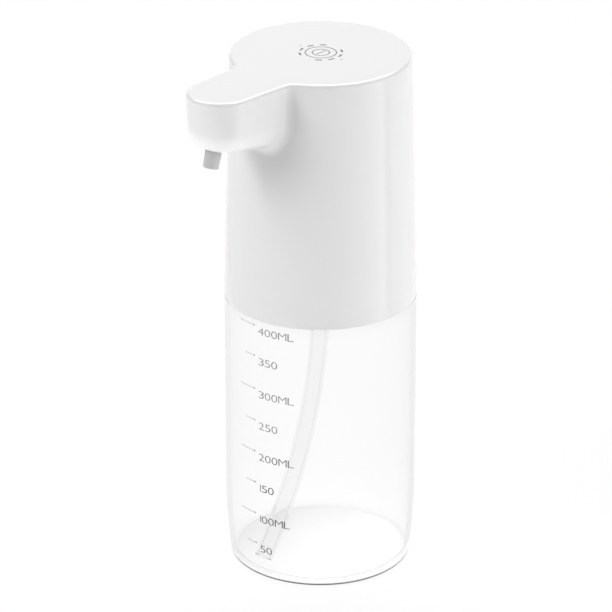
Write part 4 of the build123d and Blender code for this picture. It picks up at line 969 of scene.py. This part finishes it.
def make_glow(tree, strength):
    """Makes a bare material glow."""
    light = add_node(tree, "Emission", {"Strength": strength})
    tree.links.new(light.outputs["Emission"], tree.nodes["Material Output"].inputs["Surface"])


def studio_place(turn, distance, height):
    """Place in the studio: turn from the spout's side, distance from the axis and height."""
    angle = math.radians(turn)
    return (math.sin(angle) * distance, -math.cos(angle) * distance, height)


def turned_to(place, aim, axis):
    """Rotation that points an axis from one place at another."""
    return (Vector(aim) - Vector(place)).to_track_quat(axis, "Y").to_euler()


def add_lamp(lamp, place, aim, mirrored):
    """Hangs a lamp in the studio, turned to a point; gloss shows it only if it is mirrored."""
    holder = bpy.data.objects.new(lamp.name, lamp)
    holder.location = place
    holder.rotation_euler = turned_to(place, aim, "-Z")
    holder.visible_glossy = mirrored
    bpy.context.scene.collection.objects.link(holder)


def add_softbox(name, place, size, energy, mirrored):
    """Soft area lamp that looks at the object."""
    lamp = bpy.data.lights.new(name, "AREA")
    lamp.shape = "RECTANGLE"
    lamp.size, lamp.size_y = size
    lamp.energy = energy
    add_lamp(lamp, place, STUDIO_AIM, mirrored)


def add_card(name, material, place, aim, size):
    """Upright studio card out of the camera's sight, turned to a point."""
    width, height = size
    bm = bmesh.new()
    stretch = Matrix.Diagonal((width / 2, height / 2, 1.0, 1.0))
    bmesh.ops.create_grid(bm, x_segments=1, y_segments=1, size=1.0, matrix=stretch)
    card = new_object(name, bm, material)
    card.location = place
    card.rotation_euler = turned_to(place, aim, "Z")
    card.visible_camera = False
    card.visible_transmission = False
    return card


def add_mirrored_wall(name, start, turn, foot, head, material):
    """Curved studio wall that only gloss shows; its foot and head are a radius and a height."""
    bm = bmesh.new()
    ends = [bm.verts.new(studio_place(start, *place)) for place in (foot, head)]
    edge = bm.edges.new(ends)
    bmesh.ops.spin(
        bm,
        geom=ends + [edge],
        cent=(0, 0, 0),
        axis=(0, 0, 1),
        angle=math.radians(turn),
        steps=WALL_STEPS,
    )
    wall = new_object(name, bm, material)
    wall.visible_camera = False
    wall.visible_diffuse = False
    wall.visible_transmission = False
    wall.visible_shadow = False


class DISPENSER_OT_stage(Operator):
    """Pale floor, soft light, white surround and camera"""

    bl_idname = "dispenser.stage"
    bl_label = "Studio"

    def execute(self, context):
        scene = context.scene
        studio = scene.dispenser_studio
        scene.view_settings.view_transform = "Standard"
        self.make_floor(scene)
        self.make_surround(scene)
        for name, place, size, mirrored in SOFTBOXES:
            add_softbox("softbox " + name, studio_place(*place), size, getattr(studio, name), mirrored)
        dark = self.make_dark_card()
        add_mirrored_wall("studio_dark_wall", WALL_START, WALL_TURN, WALL_FOOT, WALL_HEAD, dark)
        self.make_bright_arch(studio)
        self.make_kicker(studio)
        self.make_bright_card(studio)
        self.make_camera(scene)
        return {"FINISHED"}

    def make_floor(self, scene):
        """Floor that looks white to the camera and throws less light on the object."""
        sizes = scene.dispenser_sizes
        colours = scene.dispenser_colours
        studio = scene.dispenser_studio
        material, tree = bare_material("floor pale")
        glow = shaded_glow(tree, studio.floor_glow, studio.floor_shade, sizes.shade_radius)
        seen = lit_surface(tree, colours.floor_seen, glow)
        given = lit_surface(tree, colours.floor, studio.below)
        pick_shader(tree, seen_ray(tree), given, seen, tree.nodes["Material Output"])
        bm = bmesh.new()
        low = Matrix.Translation((0, 0, BOTTLE_BOX[0].z - sizes.floor_gap))
        bmesh.ops.create_grid(bm, x_segments=1, y_segments=1, size=sizes.floor_size, matrix=low)
        new_object("studio_floor", bm, material)

    def make_dark_card(self):
        """Dark card that keeps front light off the body; gives its material."""
        material, tree, shader = new_material("card dark")
        feed(tree, shader, {"Base Color": DARK_CARD_TINT, "Roughness": DARK_CARD_ROUGHNESS})
        place = studio_place(*DARK_CARD_PLACE)
        add_card("studio_dark_card", material, place, DARK_CARD_AIM, DARK_CARD_SIZE)
        return material

    def make_bright_arch(self, studio):
        """Bright arch that the top's edges mirror."""
        material, tree = bare_material("arch bright")
        make_glow(tree, studio.rim_glow)
        add_mirrored_wall("studio_bright_arch", ARCH_START, ARCH_TURN, ARCH_FOOT, ARCH_HEAD, material)

    def make_kicker(self, studio):
        """Small lamp below the spout."""
        lamp = bpy.data.lights.new("kicker", "SPOT")
        lamp.energy = studio.kick
        lamp.spot_size = math.radians(KICKER_CONE)
        lamp.spot_blend = KICKER_BLEND
        lamp.shadow_soft_size = KICKER_SIZE
        add_lamp(lamp, KICKER_PLACE, KICKER_AIM, False)

    def make_bright_card(self, studio):
        """Card whose glow grows along its width, which the body's side mirrors."""
        material, tree = bare_material("card bright")
        half = BRIGHT_CARD_SIZE[0] / 2
        band = (studio.band_dim, studio.band_bright)
        make_glow(tree, ranged(tree, along(tree, object_place(tree), "X"), (half, -half), band))
        place = studio_place(*BRIGHT_CARD_PLACE)
        card = add_card("studio_bright_card", material, place, STUDIO_AIM, BRIGHT_CARD_SIZE)
        card.visible_diffuse = False
        card.visible_shadow = False

    def make_surround(self, scene):
        """Surround that looks white to the camera and throws less light on the object."""
        world = bpy.data.worlds.new("studio surround")
        scene.world = world
        world.use_nodes = True
        tree = world.node_tree
        light = tree.nodes["Background"]
        feed(tree, light, {"Color": WHITE, "Strength": scene.dispenser_studio.surround})
        backdrop = add_node(tree, "Background", {"Color": WHITE, "Strength": 1.0}).outputs["Background"]
        pick_shader(tree, seen_ray(tree), light.outputs["Background"], backdrop, tree.nodes["World Output"])

    def make_camera(self, scene):
        """Camera that stands where the photo's did."""
        camera = bpy.data.cameras.new("camera")
        camera.lens = CAMERA_LENS
        camera.sensor_width = CAMERA_SENSOR
        holder = bpy.data.objects.new("camera", camera)
        holder.location = studio_place(CAMERA_TURN, CAMERA_DISTANCE, CAMERA_HEIGHT)
        turn = math.radians(CAMERA_TURN) + CAMERA_ASIDE
        holder.rotation_euler = (math.radians(90 - CAMERA_DROP), 0.0, turn)
        scene.collection.objects.link(holder)
        scene.camera = holder


STEPS = (
    DISPENSER_OT_stage,
    DISPENSER_OT_bottle,
    DISPENSER_OT_volume_scale,
    DISPENSER_OT_head,
    DISPENSER_OT_touch_symbol,
    DISPENSER_OT_inlet,
    DISPENSER_OT_outlet,
    DISPENSER_OT_pump,
    DISPENSER_OT_motor,
    DISPENSER_OT_electronics,
    DISPENSER_OT_screws,
)


class DISPENSER_PT_panel(Panel):
    """Steps that dress the dispenser, with its sizes and colours"""

    bl_idname = "DISPENSER_PT_panel"
    bl_label = "Soap dispenser"
    bl_space_type = "VIEW_3D"
    bl_region_type = "UI"
    bl_category = "Dispenser"

    def draw(self, context):
        scene = context.scene
        for step in STEPS:
            self.layout.operator(step.bl_idname)
        for group in (scene.dispenser_sizes, scene.dispenser_colours, scene.dispenser_studio):
            column = self.layout.column()
            for name in group.__annotations__:
                column.prop(group, name)


CLASSES = (DispenserSizes, DispenserColours, DispenserStudio) + STEPS + (DISPENSER_PT_panel,)


def register():
    """Makes the classes and the scene's settings known."""
    for item in CLASSES:
        bpy.utils.register_class(item)
    bpy.types.Scene.dispenser_sizes = PointerProperty(type=DispenserSizes)
    bpy.types.Scene.dispenser_colours = PointerProperty(type=DispenserColours)
    bpy.types.Scene.dispenser_studio = PointerProperty(type=DispenserStudio)


def unregister():
    """Takes the classes and settings away."""
    del bpy.types.Scene.dispenser_studio
    del bpy.types.Scene.dispenser_colours
    del bpy.types.Scene.dispenser_sizes
    for item in reversed(CLASSES):
        bpy.utils.unregister_class(item)


def main():
    """Dresses the frame."""
    register()
    for step in STEPS:
        group, name = step.bl_idname.split(".")
        getattr(getattr(bpy.ops, group), name)()


if __name__ == "__main__":
    main()
